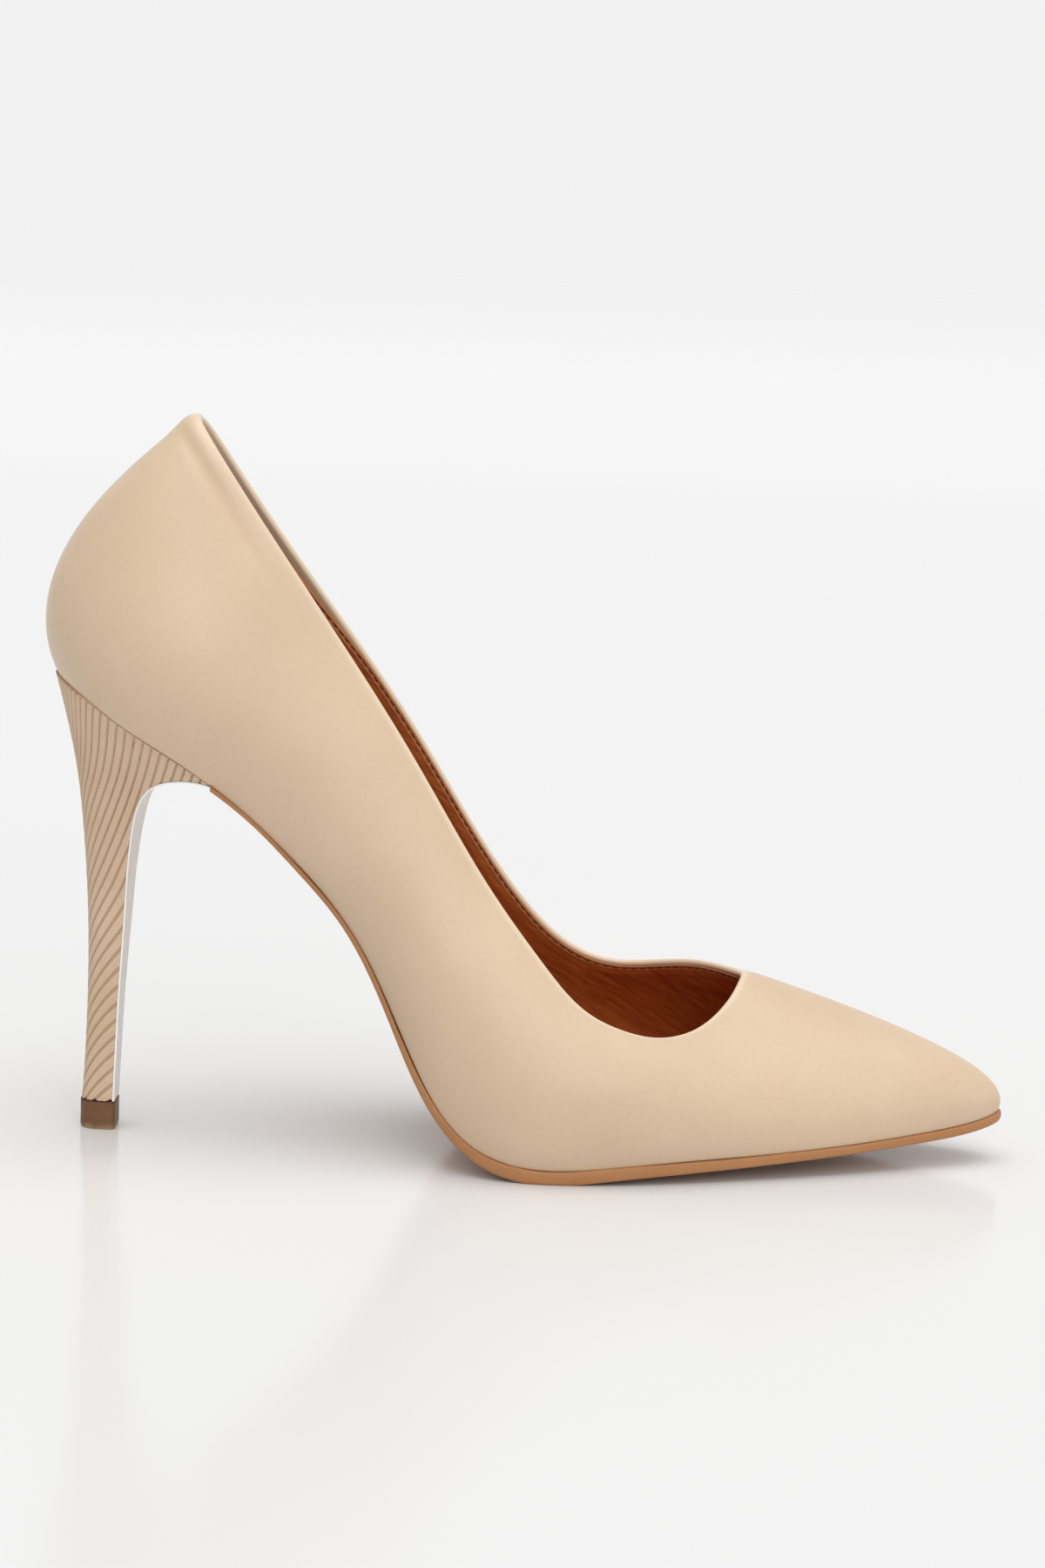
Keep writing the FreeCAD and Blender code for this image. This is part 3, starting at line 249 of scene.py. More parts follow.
def tread_samples():
    """Points and upward normals along the tread line."""
    places = chord_places(TREAD_LINE)
    points = spline(places, TREAD_LINE)(np.linspace(0, places[-1], TREAD_SAMPLES))
    return points, -right_of(np.gradient(points, axis=0))


TREAD_POINTS, TREAD_NORMALS = tread_samples()


def tread_at(x):
    """Height of the tread line at x and the line's upward normal, carried on past its ends."""
    x = np.asarray(x, float)
    inside = np.clip(x, TREAD_POINTS[0, 0], TREAD_POINTS[-1, 0])
    height = np.interp(inside, TREAD_POINTS[:, 0], TREAD_POINTS[:, 1])
    normal_x = np.interp(inside, TREAD_POINTS[:, 0], TREAD_NORMALS[:, 0])
    normal_z = np.interp(inside, TREAD_POINTS[:, 0], TREAD_NORMALS[:, 1])
    return height - (x - inside) * normal_x / normal_z, normal_x, normal_z


def over_feather(x, height):
    """Point (x, z) at a height over the feather surface, square to the tread line."""
    z, normal_x, normal_z = tread_at(x)
    rise = table(SOLE_THICKNESS, x) + height
    return x + normal_x * rise, z + normal_z * rise


def bed_height(x, height=0.0):
    """Z at x of the surface that lies at a height over the feather surface."""
    guess = np.asarray(x, float).copy()
    for _ in range(BED_STEPS):
        guess = guess - (over_feather(guess, height)[0] - x)
    return over_feather(guess, height)[1]


# ---------------- the upper's wall

RIB_STEPS = np.linspace(0.0, 1.0, 161)
BINOMIAL = [1, 4, 6, 4, 1]
WALL_STEP = 0.002


def ring_functions():
    """Closed curves through the five levels of the ribs."""
    feather = [(rib[0][0], rib[0][1], float(bed_height(rib[0][0]))) for rib in RIBS]
    levels = [feather] + [[rib[level] for rib in RIBS] for level in range(1, 5)]
    return [spline(range(COLUMNS + 1), points, closed=True) for points in levels]


RINGS = ring_functions()


def controls_at(columns):
    """Control points of the ribs at stations."""
    return np.stack([ring(columns) for ring in RINGS])


def rib_points(controls, heights):
    """Points on fourth-degree ribs: controls is (5, columns, 3) and heights (rows, columns)."""
    total = 0.0
    for level in range(5):
        weight = BINOMIAL[level] * heights ** level * (1 - heights) ** (4 - level)
        total = total + weight[..., None] * controls[level][None]
    return total


def rib_lengths(columns):
    """Distance up each rib at even steps of height."""
    heights = np.repeat(RIB_STEPS[:, None], len(columns), axis=1)
    points = rib_points(controls_at(columns), heights)
    runs = np.linalg.norm(np.diff(points, axis=0), axis=-1)
    return np.concatenate([np.zeros((1, len(columns))), np.cumsum(runs, axis=0)])


def wall_at(columns, distances, depth=0.0):
    """Points and normals of the wall at distances (rows, columns) over the feather line."""
    lengths = rib_lengths(columns)
    distances = np.atleast_2d(distances)
    heights = np.empty_like(distances)
    for place in range(len(columns)):
        heights[:, place] = np.interp(distances[:, place], lengths[:, place], RIB_STEPS)
    here = controls_at(columns)
    points = rib_points(here, heights)
    around = rib_points(controls_at(columns + WALL_STEP), heights) \
        - rib_points(controls_at(columns - WALL_STEP), heights)
    upward = rib_points(here, np.clip(heights + WALL_STEP, 0, 1)) \
        - rib_points(here, np.clip(heights - WALL_STEP, 0, 1))
    normals = unit(np.cross(around, upward))
    return points - normals * np.asarray(depth)[..., None], normals


def even_stations(count):
    """Stations round the shoe."""
    return np.arange(count) * (COLUMNS / count)


def from_back(columns):
    """Stations counted either way from the back rib."""
    return np.minimum(columns, COLUMNS - columns)


# ---------------- meshes

def show(name, data):
    """Object added to the scene."""
    shown = bpy.data.objects.new(name, data)
    scene.collection.objects.link(shown)
    return shown


def make_piece(name, look, nodes, vertices, faces, paints=None):
    """Smooth piece in metres from points in millimetres, with numbers painted on its points."""
    mesh = bpy.data.meshes.new(name)
    points = (np.asarray(vertices, float) * MM).reshape(-1, 3)
    mesh.from_pydata(points.tolist(), [], faces)
    for key, values in (paints or {}).items():
        layer = mesh.attributes.new(key, "FLOAT", "POINT")
        layer.data.foreach_set("value", np.asarray(values, np.float32).ravel())
    cleaned = bmesh.new()
    cleaned.from_mesh(mesh)
    bmesh.ops.remove_doubles(cleaned, verts=cleaned.verts, dist=MERGE)
    bmesh.ops.recalc_face_normals(cleaned, faces=cleaned.faces)
    cleaned.to_mesh(mesh)
    cleaned.free()
    mesh.shade_smooth()
    mesh.set_sharp_from_angle(angle=SHARP_ANGLE)
    mesh.materials.append(MATERIALS[look])
    piece = show(name, mesh)
    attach(piece, ROOT)
    if nodes:
        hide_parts(*nodes)
    return piece


def grid_faces(rows, columns, close_rows=False, close_columns=False, start=0):
    """Quads of a grid of points, closed on itself in either direction."""
    last_row = rows if close_rows else rows - 1
    last_column = columns if close_columns else columns - 1
    row = np.arange(last_row)[:, None]
    column = np.arange(last_column)[None]
    next_row = (row + 1) % rows
    next_column = (column + 1) % columns
    corners = [row * columns + column, row * columns + next_column,
               next_row * columns + next_column, next_row * columns + column]
    quads = np.stack([np.broadcast_to(c, (last_row, last_column)) for c in corners], axis=-1)
    return (quads.reshape(-1, 4) + start).tolist()


def tube_faces(rows, count, start=0):
    """Faces of a closed tube of loops, with its two end loops capped."""
    faces = grid_faces(rows, count, close_columns=True, start=start)
    faces.append([start + corner for corner in range(count)][::-1])
    faces.append([start + corner for corner in range((rows - 1) * count, rows * count)])
    return faces


def make_tube(node_name, look, loops, paints=None):
    """Closed tube from loops (rows, loop points, 3), in the place of one CAD node."""
    return make_piece(node_name + "_visual", look, [node_name], loops,
                      tube_faces(*loops.shape[:2]), paints)


def noise_grid(points, size_mm):
    """Smooth noise from 0 to 1 at a grid of points."""
    flat = points.reshape(-1, 3) / size_mm
    values = [noise.noise(Vector(point)) for point in flat.tolist()]
    return (np.array(values).reshape(points.shape[:-1]) + 1) / 2


# ---------------- materials

def node(tree, kind, inputs=(), **settings):
    """Shader node with its settings; inputs are given as (name or index, value or socket)."""
    made = tree.nodes.new(kind)
    for key, value in settings.items():
        setattr(made, key, value)
    for key, value in inputs:
        if isinstance(value, bpy.types.NodeSocket):
            tree.links.new(value, made.inputs[key])
        else:
            made.inputs[key].default_value = value
    return made


def mapped(tree, value, low, high, to_low, to_high, smooth=False):
    """Value mapped from one range to another."""
    kind = "SMOOTHSTEP" if smooth else "LINEAR"
    return node(tree, "ShaderNodeMapRange", interpolation_type=kind,
                inputs=(("Value", value), ("From Min", low), ("From Max", high),
                        ("To Min", to_low), ("To Max", to_high))).outputs["Result"]


def colour(red, green, blue):
    """Linear colour from sRGB numbers of 0 to 255."""
    values = np.array([red, green, blue]) / 255.0
    linear = np.where(values <= 0.04045, values / 12.92, ((values + 0.055) / 1.055) ** 2.4)
    return (*linear.tolist(), 1.0)


MATERIALS = {}

# Places of the colour sockets of a mix node: share, first and second colour, and the result.
MIX_SHARE, MIX_FIRST, MIX_SECOND, MIX_RESULT = 0, 6, 7, 2


class Look:
    """Material with one Principled shader; its colour is built up in tints, sizes are in mm."""

    def __init__(self, name, base, **principled):
        self.name = name
        self.material = bpy.data.materials.new(name)
        self.material.use_nodes = True
        self.tree = self.material.node_tree
        self.tree.nodes.clear()
        self.shader = node(self.tree, "ShaderNodeBsdfPrincipled")
        for key, value in principled.items():
            label = key.replace("_", " ").title().replace("Ior", "IOR")
            self.shader.inputs[label].default_value = value
        self.base = colour(*base)
        output = node(self.tree, "ShaderNodeOutputMaterial")
        self.tree.links.new(self.shader.outputs["BSDF"], output.inputs["Surface"])
        place = node(self.tree, "ShaderNodeTexCoord").outputs["Object"]
        self.place = self.moved(place, scale=(1 / MM,) * 3)

    def moved(self, vector, turn=(0.0, 0.0, 0.0), scale=(1.0, 1.0, 1.0)):
        """Coordinates scaled, then turned."""
        inputs = (("Vector", vector), ("Rotation", turn), ("Scale", scale))
        return node(self.tree, "ShaderNodeMapping", inputs=inputs).outputs["Vector"]

    def noise(self, size, detail=3.0, roughness=0.55, distortion=0.0, place=None):
        """Noise whose features are about size across."""
        inputs = (("Vector", place or self.place), ("Scale", 1.0 / size), ("Detail", detail),
                  ("Roughness", roughness), ("Distortion", distortion))
        return node(self.tree, "ShaderNodeTexNoise", inputs=inputs).outputs["Fac"]

    def cells(self, size):
        """Distance to the middle of cells about size across."""
        inputs = (("Vector", self.place), ("Scale", 1.0 / size))
        return node(self.tree, "ShaderNodeTexVoronoi", inputs=inputs).outputs["Distance"]

    def painted(self, name):
        """Number painted on the mesh's points."""
        return node(self.tree, "ShaderNodeAttribute", attribute_name=name).outputs["Fac"]

    def tint(self, value, tone, low=0.3, high=0.7, first=0.0, last=1.0):
        """Tone laid over the colour, by a share that goes from first to last with the value."""
        share = mapped(self.tree, value, low, high, first, last)
        inputs = ((MIX_SHARE, share), (MIX_FIRST, self.base), (MIX_SECOND, colour(*tone)))
        mix = node(self.tree, "ShaderNodeMix", data_type="RGBA", inputs=inputs)
        self.base = mix.outputs[MIX_RESULT]

    def paint(self, name, tone, most, low=0.0):
        """Tone laid where a number is painted on the mesh."""
        self.tint(self.painted(name), tone, low, 1.0, 0.0, most)

    def rough(self, value, first, last, low=0.3, high=0.7):
        """Roughness that goes from first to last with the value."""
        share = mapped(self.tree, value, low, high, first, last)
        self.tree.links.new(share, self.shader.inputs["Roughness"])

    def done(self, *bumps):
        """Finish the material, with bumps laid over one another as (height, strength, depth)."""
        self.tree.links.new(self.base, self.shader.inputs["Base Color"])
        normal = ()
        for height, strength, depth in bumps:
            inputs = (("Height", height), ("Strength", strength), ("Distance", depth * MM))
            normal = (("Normal", node(self.tree, "ShaderNodeBump",
                                      inputs=inputs + normal).outputs["Normal"]),)
        self.tree.links.new(normal[0][1], self.shader.inputs["Normal"])
        MATERIALS[self.name] = self.material


def upper_leather():
    """Smooth beige leather: close grain, soft cloudy colour, crisp edges with a painted highlight,
    and painted shade in its folds and in the groove beside the topline.
    """
    look = Look("upper_leather", (210, 184, 155), specular_ior_level=0.42, sheen_weight=0.12,
                sheen_roughness=0.35)
    look.tint(look.noise(26.0, 2.0), (216, 191, 162))
    look.tint(look.noise(1.1, 3.0, 0.7), (197, 169, 138), 0.45, 0.75, last=0.22)
    # Painted highlight: paler tone along the topline's rolled edge, weaker inside the fold.
    look.paint("edge", (240, 220, 192), 0.55)
    # Painted shade: darker tone in the groove beside the topline and on the margin turned under the
    # foot.
    look.paint("fold_shade", (188, 156, 124), 0.45)
    look.rough(look.noise(9.0, 4.0), 0.36, 0.47)
    look.done((look.noise(7.0, 2.0), 0.25, 0.25), (look.cells(0.55), 0.10, 0.05),
              (look.noise(0.8, 5.0, 0.6), 0.16, 0.06))


def brown_leather(name, slant, creasing):
    """Thin reddish-brown leather with fine wrinkles at a slant, more or less creased, with painted
    shade in their hollows.
    """
    look = Look(name, (166, 88, 38), specular_ior_level=0.17, sheen_weight=0.02,
                sheen_roughness=0.4)
    slanted = look.moved(look.place, turn=(0.0, math.radians(slant), 0.0))
    slanted = look.moved(slanted, scale=(0.09, 0.3, 1.0))
    folds = look.noise(0.9, 2.0, 0.5, 0.15, slanted)
    fine = look.noise(0.45, 3.0, 0.6, 0.3, slanted)
    look.tint(look.noise(22.0, 2.0), (174, 96, 44))
    # Painted shade in the hollows of the wrinkles, deeper with more creasing.
    look.tint(folds, (118, 53, 18), 0.36, 0.6, creasing, 0.0)
    # Paler tone on the edge points: on the lining a painted highlight along its top edge and on the
    # ridge below the stitches; on the sock it lies on the rounded cut edge.
    look.paint("edge", (214, 150, 100), 0.8)
    look.rough(folds, 0.54, 0.44)
    look.done((folds, creasing, 0.30), (fine, 0.25, 0.10), (look.cells(0.5), 0.2, 0.05))


def sole_leather():
    """Tan sole with a burnished, slightly darker edge and a dull tread darkened with painted shade.
    """
    look = Look("sole_leather", (182, 130, 84), specular_ior_level=0.4)
    fibre = look.noise(1.4, 5.0, 0.6, place=look.moved(look.place, scale=(0.12, 1.0, 1.0)))
    look.tint(look.noise(18.0), (192, 141, 94))
    look.tint(fibre, (170, 117, 72), 0.4, 0.7, last=0.4)
    look.paint("edge", (164, 110, 64), 0.5)
    # Painted shade: the underside near the floor darkened.
    look.paint("tread", (84, 50, 28), 0.9)
    look.rough(look.painted("tread"), 0.42, 0.66, 0.0, 1.0)
    look.done((fibre, 0.2, 0.08), (look.cells(0.6), 0.12, 0.05))


def ribbed_cover():
    """Leather-coloured moulded ribs with painted shade in their grooves."""
    look = Look("ribbed_cover", (212, 184, 154), specular_ior_level=0.3)
    fleck = look.noise(0.7, 4.0, 0.7)
    look.tint(look.noise(12.0), (221, 194, 166))
    look.tint(fleck, (192, 162, 130), 0.45, 0.75, last=0.25)
    # Painted shade in the ribs' grooves.
    look.paint("groove", (166, 130, 98), 0.85, low=0.1)
    look.rough(fleck, 0.45, 0.58)
    look.done((look.noise(0.35, 4.0), 0.15, 0.05))


def moulded_rubber():
    """Brown rubber with painted shade in the joint on top and a paler lower rim, painted light from
    the floor.
    """
    look = Look("top_piece_rubber", (122, 84, 52), specular_ior_level=0.4)
    cloud = look.noise(1.3, 4.0, 0.6)
    look.tint(cloud, (110, 75, 46), 0.32, 0.68)
    # Painted shade in the joint under the heel cover.
    look.paint("joint", (58, 32, 18), 0.85)
    # Painted light: the lower rim paler where light bounces up from the floor.
    look.paint("rim", (196, 168, 128), 0.75)
    look.rough(cloud, 0.45, 0.58)
    look.done((cloud, 0.2, 0.1), (look.noise(0.3), 0.15, 0.04))


def plain_look(name, light, dark, size, roughness, bump, squeeze=(1.0, 1.0, 1.0),
               specular_ior_level=0.4, **principled):
    """Cloudy two-tone material with its own grain, for boards, foam, metal and plastic."""
    look = Look(name, light, specular_ior_level=specular_ior_level, **principled)
    place = look.moved(look.place, scale=squeeze)
    pattern = look.noise(size, 5.0, 0.6, place=place)
    look.tint(pattern, dark, 0.32, 0.68)
    look.rough(pattern, roughness - 0.06, roughness + 0.06)
    look.done((pattern, bump, 0.12), (look.noise(size / 5, place=place), bump * 0.6, 0.05))


METAL = {"metallic": 1.0, "specular_ior_level": 0.5}
upper_leather()
brown_leather("lining_leather", -32.0, 0.5)
brown_leather("sock_leather", 0.0, 0.2)
sole_leather()
ribbed_cover()
moulded_rubber()
plain_look("textile_tape", (228, 220, 205), (205, 194, 176), 0.5, 0.85, 0.4, (1.0, 1.0, 4.0))
plain_look("stiffener", (214, 204, 184), (196, 184, 162), 1.6, 0.8, 0.3)
plain_look("interlining", (232, 226, 214), (214, 206, 190), 0.8, 0.9, 0.5)
plain_look("cork", (176, 128, 82), (120, 78, 44), 1.8, 0.85, 0.5)
plain_look("foam", (236, 228, 206), (222, 212, 186), 0.6, 0.9, 0.4)
plain_look("fibreboard", (176, 142, 104), (152, 118, 82), 1.1, 0.85, 0.3)
plain_look("steel", (196, 198, 202), (160, 163, 168), 1.2, 0.34, 0.12, (0.15, 1.0, 1.0), **METAL)
plain_look("brass", (214, 178, 98), (184, 148, 74), 1.0, 0.3, 0.1, **METAL)
plain_look("heel_plastic", (226, 222, 214), (212, 207, 198), 3.0, 0.5, 0.15)
plain_look("breast_strip", (253, 252, 251), (248, 246, 244), 2.4, 0.42, 0.12)
plain_look("thread", (92, 46, 22), (70, 32, 14), 0.3, 0.7, 0.4)


# ---------------- upper

UPPER_COLUMNS = 616
OUTER_ROWS = 64
ROLL_STEPS = 10
FINE = 1.35
FEATHER_RADIUS = 0.35
TOPLINE_RADIUS = 0.75
FOLD_INSIDE = 2.2
FOLD_ROWS = (1.5, 3.0, 5.0, FOLD_DEPTH)
INSIDE_LOW = 0.4
SKIVED = 0.7
EASE = 0.7
EASE_WIDTH = 5.0
ROLL_RISE = 0.34
GROOVE_DEPTH = 0.52
DOME_RISE = 0.85


def roll_relief(columns, under):
    """Soft roll beside the topline near the back: height over the wall and its groove's shade."""
    stations = from_back(columns)
    back = bell(stations, 0.0, 0.7)
    fade = (1.0 - smoothstep((stations - 1.8) / 1.2)) * (1.0 - 0.75 * back)
    crest = 1.9 + 0.25 * stations
    valley = crest + 2.5 + 0.2 * stations
    relief = (ROLL_RISE * bell(under, crest, 1.6) - GROOVE_DEPTH * bell(under, valley, 1.7)) * fade
    return relief + DOME_RISE * back * bell(under, 2.8, 4.0), bell(under, valley, 1.3) * fade


def edge_ease(under):
    """How far the layers turn in towards the foot near the topline."""
    return EASE * np.clip(1.0 - under / EASE_WIDTH, 0.0, 1.0) ** 2


def skived(under):
    """How much thinner the layers are near the topline."""
    return 1.0 - smoothstep((under - 0.6) / 3.0)


def lining_depths(under):
    """Depths of the lining's hidden and seen faces under the upper's face."""
    hidden = LINING_DEPTH - SKIVED * skived(under) + edge_ease(under)
    return hidden, hidden + LINING_THICKNESS - 0.3 * skived(under)


def build_upper():
    """Upper leather as one closed piece: wall, topline folded inward, margin folded under."""
    columns = even_stations(UPPER_COLUMNS)
    total = rib_lengths(columns)[-1]
    rows, edges, fold_shades = [], [], []

    def add(points, edge=0.0, fold_shade=0.0):
        points = points.reshape(-1, UPPER_COLUMNS, 3)
        rows.append(points)
        edges.append(np.broadcast_to(edge, points.shape[:2]))
        fold_shades.append(np.broadcast_to(fold_shade, points.shape[:2]))

    def add_inside(distances, depth, edge=0.0):
        add(wall_at(columns, distances, depth)[0], edge)

    feather = wall_at(columns, np.zeros_like(total))[0][0]
    inner = feather[:, :2] * MARGIN_SCALE
    margin_low, margin_high = (np.column_stack([inner, bed_height(inner[:, 0], height)])
                               for height in (0.0, UPPER_THICKNESS))
    under_foot = feather - unit(feather - margin_low) * FEATHER_RADIUS
    turn_top = wall_at(columns, np.full_like(total, FEATHER_RADIUS))[0][0]
    # Painted shade on the margin under the foot, fading out round the feather's turn.
    for share in (0.0, 0.35, 0.7):
        add(margin_low + (under_foot - margin_low) * share, fold_shade=1.0)
    for share in np.linspace(0, 1, 7)[:-1]:
        add(under_foot * (1 - share) ** 2 + feather * 2 * share * (1 - share)
            + turn_top * share ** 2, fold_shade=1.0 - share)

    shares = 1.0 - (1.0 - np.linspace(0, 1, OUTER_ROWS)) ** FINE
    distances = FEATHER_RADIUS + shares[:, None] * (total - FEATHER_RADIUS - TOPLINE_RADIUS)
    under = total - distances
    relief, groove = roll_relief(columns, under)
    # Wall rows: painted highlight near the topline and painted shade in the roll's groove.
    add(wall_at(columns, distances, edge_ease(under) - relief)[0],
        bell(under.mean(axis=1, keepdims=True), 0.4, 0.9), groove * 0.6)

    # Rolled topline and inside fold: painted highlight on the edge points, full on the roll and
    # weak inside.
    angles = np.linspace(0, math.pi, ROLL_STEPS + 1)[1:, None]
    add_inside(total - TOPLINE_RADIUS * (1 - np.sin(angles)),
               edge_ease(TOPLINE_RADIUS) + TOPLINE_RADIUS * (1 - np.cos(angles))
               - relief[-1] * (1 + np.cos(angles)) / 2, edge=1.0)
    for under_top in FOLD_ROWS:
        depth = FOLD_INSIDE - SKIVED * skived(under_top) + edge_ease(under_top)
        add_inside(total - under_top, depth, edge=0.2)
    add_inside(total - FOLD_DEPTH - 0.05, UPPER_THICKNESS)
    for share in (0.75, 0.5, 0.25, 0.0):
        add_inside(INSIDE_LOW + (total - FOLD_DEPTH - INSIDE_LOW) * share, UPPER_THICKNESS)
    add(margin_high)

    points = np.concatenate(rows)
    faces = grid_faces(*points.shape[:2], close_rows=True, close_columns=True)
    make_piece("upper_visual", "upper_leather", ["upper"], points, faces,
               {"edge": np.concatenate(edges), "fold_shade": np.concatenate(fold_shades)})


# ---------------- linings

LINING_SPANS = {
    "heel_grip": (-2.0, 2.0),
    "quarter_lining_outer": (2.005, 7.495),
    "vamp_lining": (7.5, 20.5),
    "quarter_lining_inner": (20.505, 25.995),
}
LINING_COLUMNS = 26
LINING_ROWS = 72
BACK_STEP = 6
LINING_LOW = 1.7
LINING_TOP = 0.45
BACK_FACING = 1.7
WRINKLE_SLOPE = math.radians(28.0)
WRINKLE_RISE = 0.34
RIDGE_RISE = 0.14
RIDGE_UNDER = 1.0
STITCH_UNDER = 0.5
STITCH_SAMPLES = 1400
STITCH_PITCH = 2.2
STITCH_LENGTH = 1.75
STITCH_WIDTH = 0.2
STITCH_RISE = 0.16
STITCH_SUNK = 0.12
STITCH_SIDES = 6
STITCH_RINGS = 7


def lining_edge(columns):
    """Distance of the lining's top edge under the topline, larger round the back."""
    return LINING_TOP + BACK_FACING * (1.0 - smoothstep((from_back(columns) - 2.2) / 1.4))


def wrinkles(points, towards_toe):
    """Height of slanting folds in the lining at points in millimetres."""
    heights = np.empty(len(points))
    for place, (x, y, z) in enumerate(points):
        turn = WRINKLE_SLOPE * (1.0 - 0.8 * towards_toe[place])
        along = x * math.cos(turn) - z * math.sin(turn)
        across = x * math.sin(turn) + z * math.cos(turn)
        long_fold = noise.noise(Vector((along / 15.0, across / 2.6, y / 30.0)))
        fine_fold = noise.noise(Vector((along / 8.0 + 40.0, across / 1.3, y / 20.0)))
        heights[place] = WRINKLE_RISE * max(long_fold + 0.05, 0.0) + 0.12 * fine_fold
    return heights


def build_lining(name, first, last):
    """One lining piece: rounded edges, a stitch channel under the topline and fine folds."""
    count = int((last - first) * LINING_COLUMNS) + 1
    columns = np.mod(np.linspace(first, last, count), COLUMNS)
    total = rib_lengths(columns)[-1]
    top = lining_edge(columns)
    shares = 1.0 - (1.0 - np.linspace(0, 1, LINING_ROWS)) ** 1.5
    distances = LINING_LOW + (total - top - LINING_LOW) * shares[:, None]
    under = total - distances
    below = under - top
    hidden, seen = lining_depths(under)
    flat, normals = wall_at(columns, distances, seen)
    towards_toe = smoothstep((flat[..., 0] - 20.0) / 60.0)
    folds = wrinkles(flat.reshape(-1, 3), towards_toe.ravel()).reshape(distances.shape)
    from_end = 0.5 - np.abs(np.linspace(-0.5, 0.5, count))
    calm = smoothstep((under - 2.0) / 4.0) * smoothstep(distances / 6.0) \
        * smoothstep(from_end * count / 8.0)
    ridge = RIDGE_RISE * (bell(below, RIDGE_UNDER, 0.3) - bell(below, STITCH_UNDER, 0.26))
    rounded = 0.3 * (1.0 - smoothstep(below / 0.4))
    rise = np.clip(folds, -0.1, 0.5) * calm + ridge - rounded
    face = flat - normals * rise[..., None]
    back = wall_at(columns, distances, hidden)[0]
    back = back[list(range(0, LINING_ROWS - 1, BACK_STEP)) + [-1]]
    loops = np.concatenate([face, back[::-1]]).swapaxes(0, 1)
    edge = np.zeros(loops.shape[:2])
    # Painted highlight along the lining's top edge and on the ridge below the stitches.
    edge[:, :LINING_ROWS] = (bell(below, 0.0, 0.35) + 0.8 * bell(below, RIDGE_UNDER, 0.25)).T
    make_tube(name, "lining_leather", loops, {"edge": edge})


def build_stitches():
    """Row of small thread stitches along the lining's top edge."""
    columns = even_stations(STITCH_SAMPLES)
    under = lining_edge(columns) + STITCH_UNDER
    depths = lining_depths(under)[1] - STITCH_SUNK
    line, normals = wall_at(columns, rib_lengths(columns)[-1] - under, depths)
    line, normals = line[0], normals[0]
    closed = np.concatenate([line, line[:1]])
    places = chord_places(closed)
    count = int(round(places[-1] / STITCH_PITCH))
    bows = np.sin(math.pi * np.arange(STITCH_RINGS) / (STITCH_RINGS - 1))
    widths = STITCH_WIDTH * (0.35 + 0.65 * np.sqrt(np.abs(bows)))
    turns = 2 * math.pi * np.arange(STITCH_SIDES) / STITCH_SIDES
    vertices, faces = [], []
    for stitch in range(count):
        middle = (stitch + 0.5) * places[-1] / count
        spots = middle + np.linspace(-0.5, 0.5, STITCH_RINGS) * STITCH_LENGTH
        centre = np.stack([np.interp(spots, places, closed[:, axis]) for axis in range(3)], axis=1)
        outward = normals[np.searchsorted(places, middle) % len(line)]
        side = np.cross(unit(centre[-1] - centre[0]), outward)
        spokes = np.outer(np.cos(turns), side) - np.outer(np.sin(turns), outward)
        faces += tube_faces(STITCH_RINGS, STITCH_SIDES, stitch * STITCH_RINGS * STITCH_SIDES)
        vertices.append((centre - np.outer(bows, outward) * STITCH_RISE)[:, None]
                        + spokes[None] * widths[:, None, None])
    make_piece("topline_stitches", "thread", [], vertices, faces)


# ---------------- layers under the foot

RING_COLUMNS = np.linspace(0, COLUMNS, 2801)
RING_STEP = 0.001
SPREAD_SAMPLES = 1500
SOLE_SEAM = 0.02
SOLE_EDGE_RADIUS = 0.6
OUTSOLE_OVERHANG = 0.7
OUTSOLE_COLUMNS = 620
SOCK_INSET = 3.9
SOCK_RISE = 5.4
SOCK_THICKNESS = 0.8
SOCK_CROWN = 0.35
SOCK_COLUMNS = 520
# Foam pads, as (middle x, half length, height of the underside over the feather surface).
PADS = {"ball_pad": (44.0, 39.8, 3.0), "heel_pad": (-81.5, 15.3, 4.4)}
PAD_INSET = 8.0
PAD_THICKNESS = 1.5
PAD_COLUMNS = 160
PAD_CORNER = 0.8
PAD_ROWS = [(0.02, 0.0), (0.25, 0.0), (0.5, 0.0), (0.7, 0.0), (0.85, 0.0), (0.95, 0.0), (1.0, 0.0),
            (1.0, 0.35), (0.985, 0.7), (0.95, 0.9), (0.88, 0.98), (0.7, 1.0), (0.45, 1.0),
            (0.2, 1.0), (0.02, 1.0)]

flat_ring = spline(range(COLUMNS + 1), [rib[0] for rib in RIBS], closed=True)


def ring_points(columns, outset):
    """Plan points of the feather line moved outward, with the outward directions."""
    outward = right_of(flat_ring(columns + RING_STEP) - flat_ring(columns - RING_STEP))
    return flat_ring(columns) + outward * outset, outward


def side_stations():
    """Stations from the back to the toe, on the outer and the inner side."""
    outer = RING_COLUMNS[RING_COLUMNS <= TOE_COLUMN]
    return outer, COLUMNS - outer


def side_widths(x, outset):
    """Y of the moved outline at x, on the outer and the inner side."""
    sides = [ring_points(columns, outset)[0] for columns in side_stations()]
    return [np.interp(x, points[:, 0], points[:, 1]) for points in sides]


def spread_stations(first, last, outset, count):
    """Stations at even steps along the moved outline."""
    columns = np.linspace(first, last, SPREAD_SAMPLES)
    places = chord_places(ring_points(columns, outset)[0])
    return np.interp(np.linspace(0, places[-1], count), places, columns)


def middle_points(columns, outset, first_x, last_x):
    """Middle line of the outline, which the layer's rows run to."""
    x = np.clip(ring_points(columns, outset)[0][:, 0], first_x, last_x)
    return np.stack([x, sum(side_widths(x, outset)) / 2], axis=1)


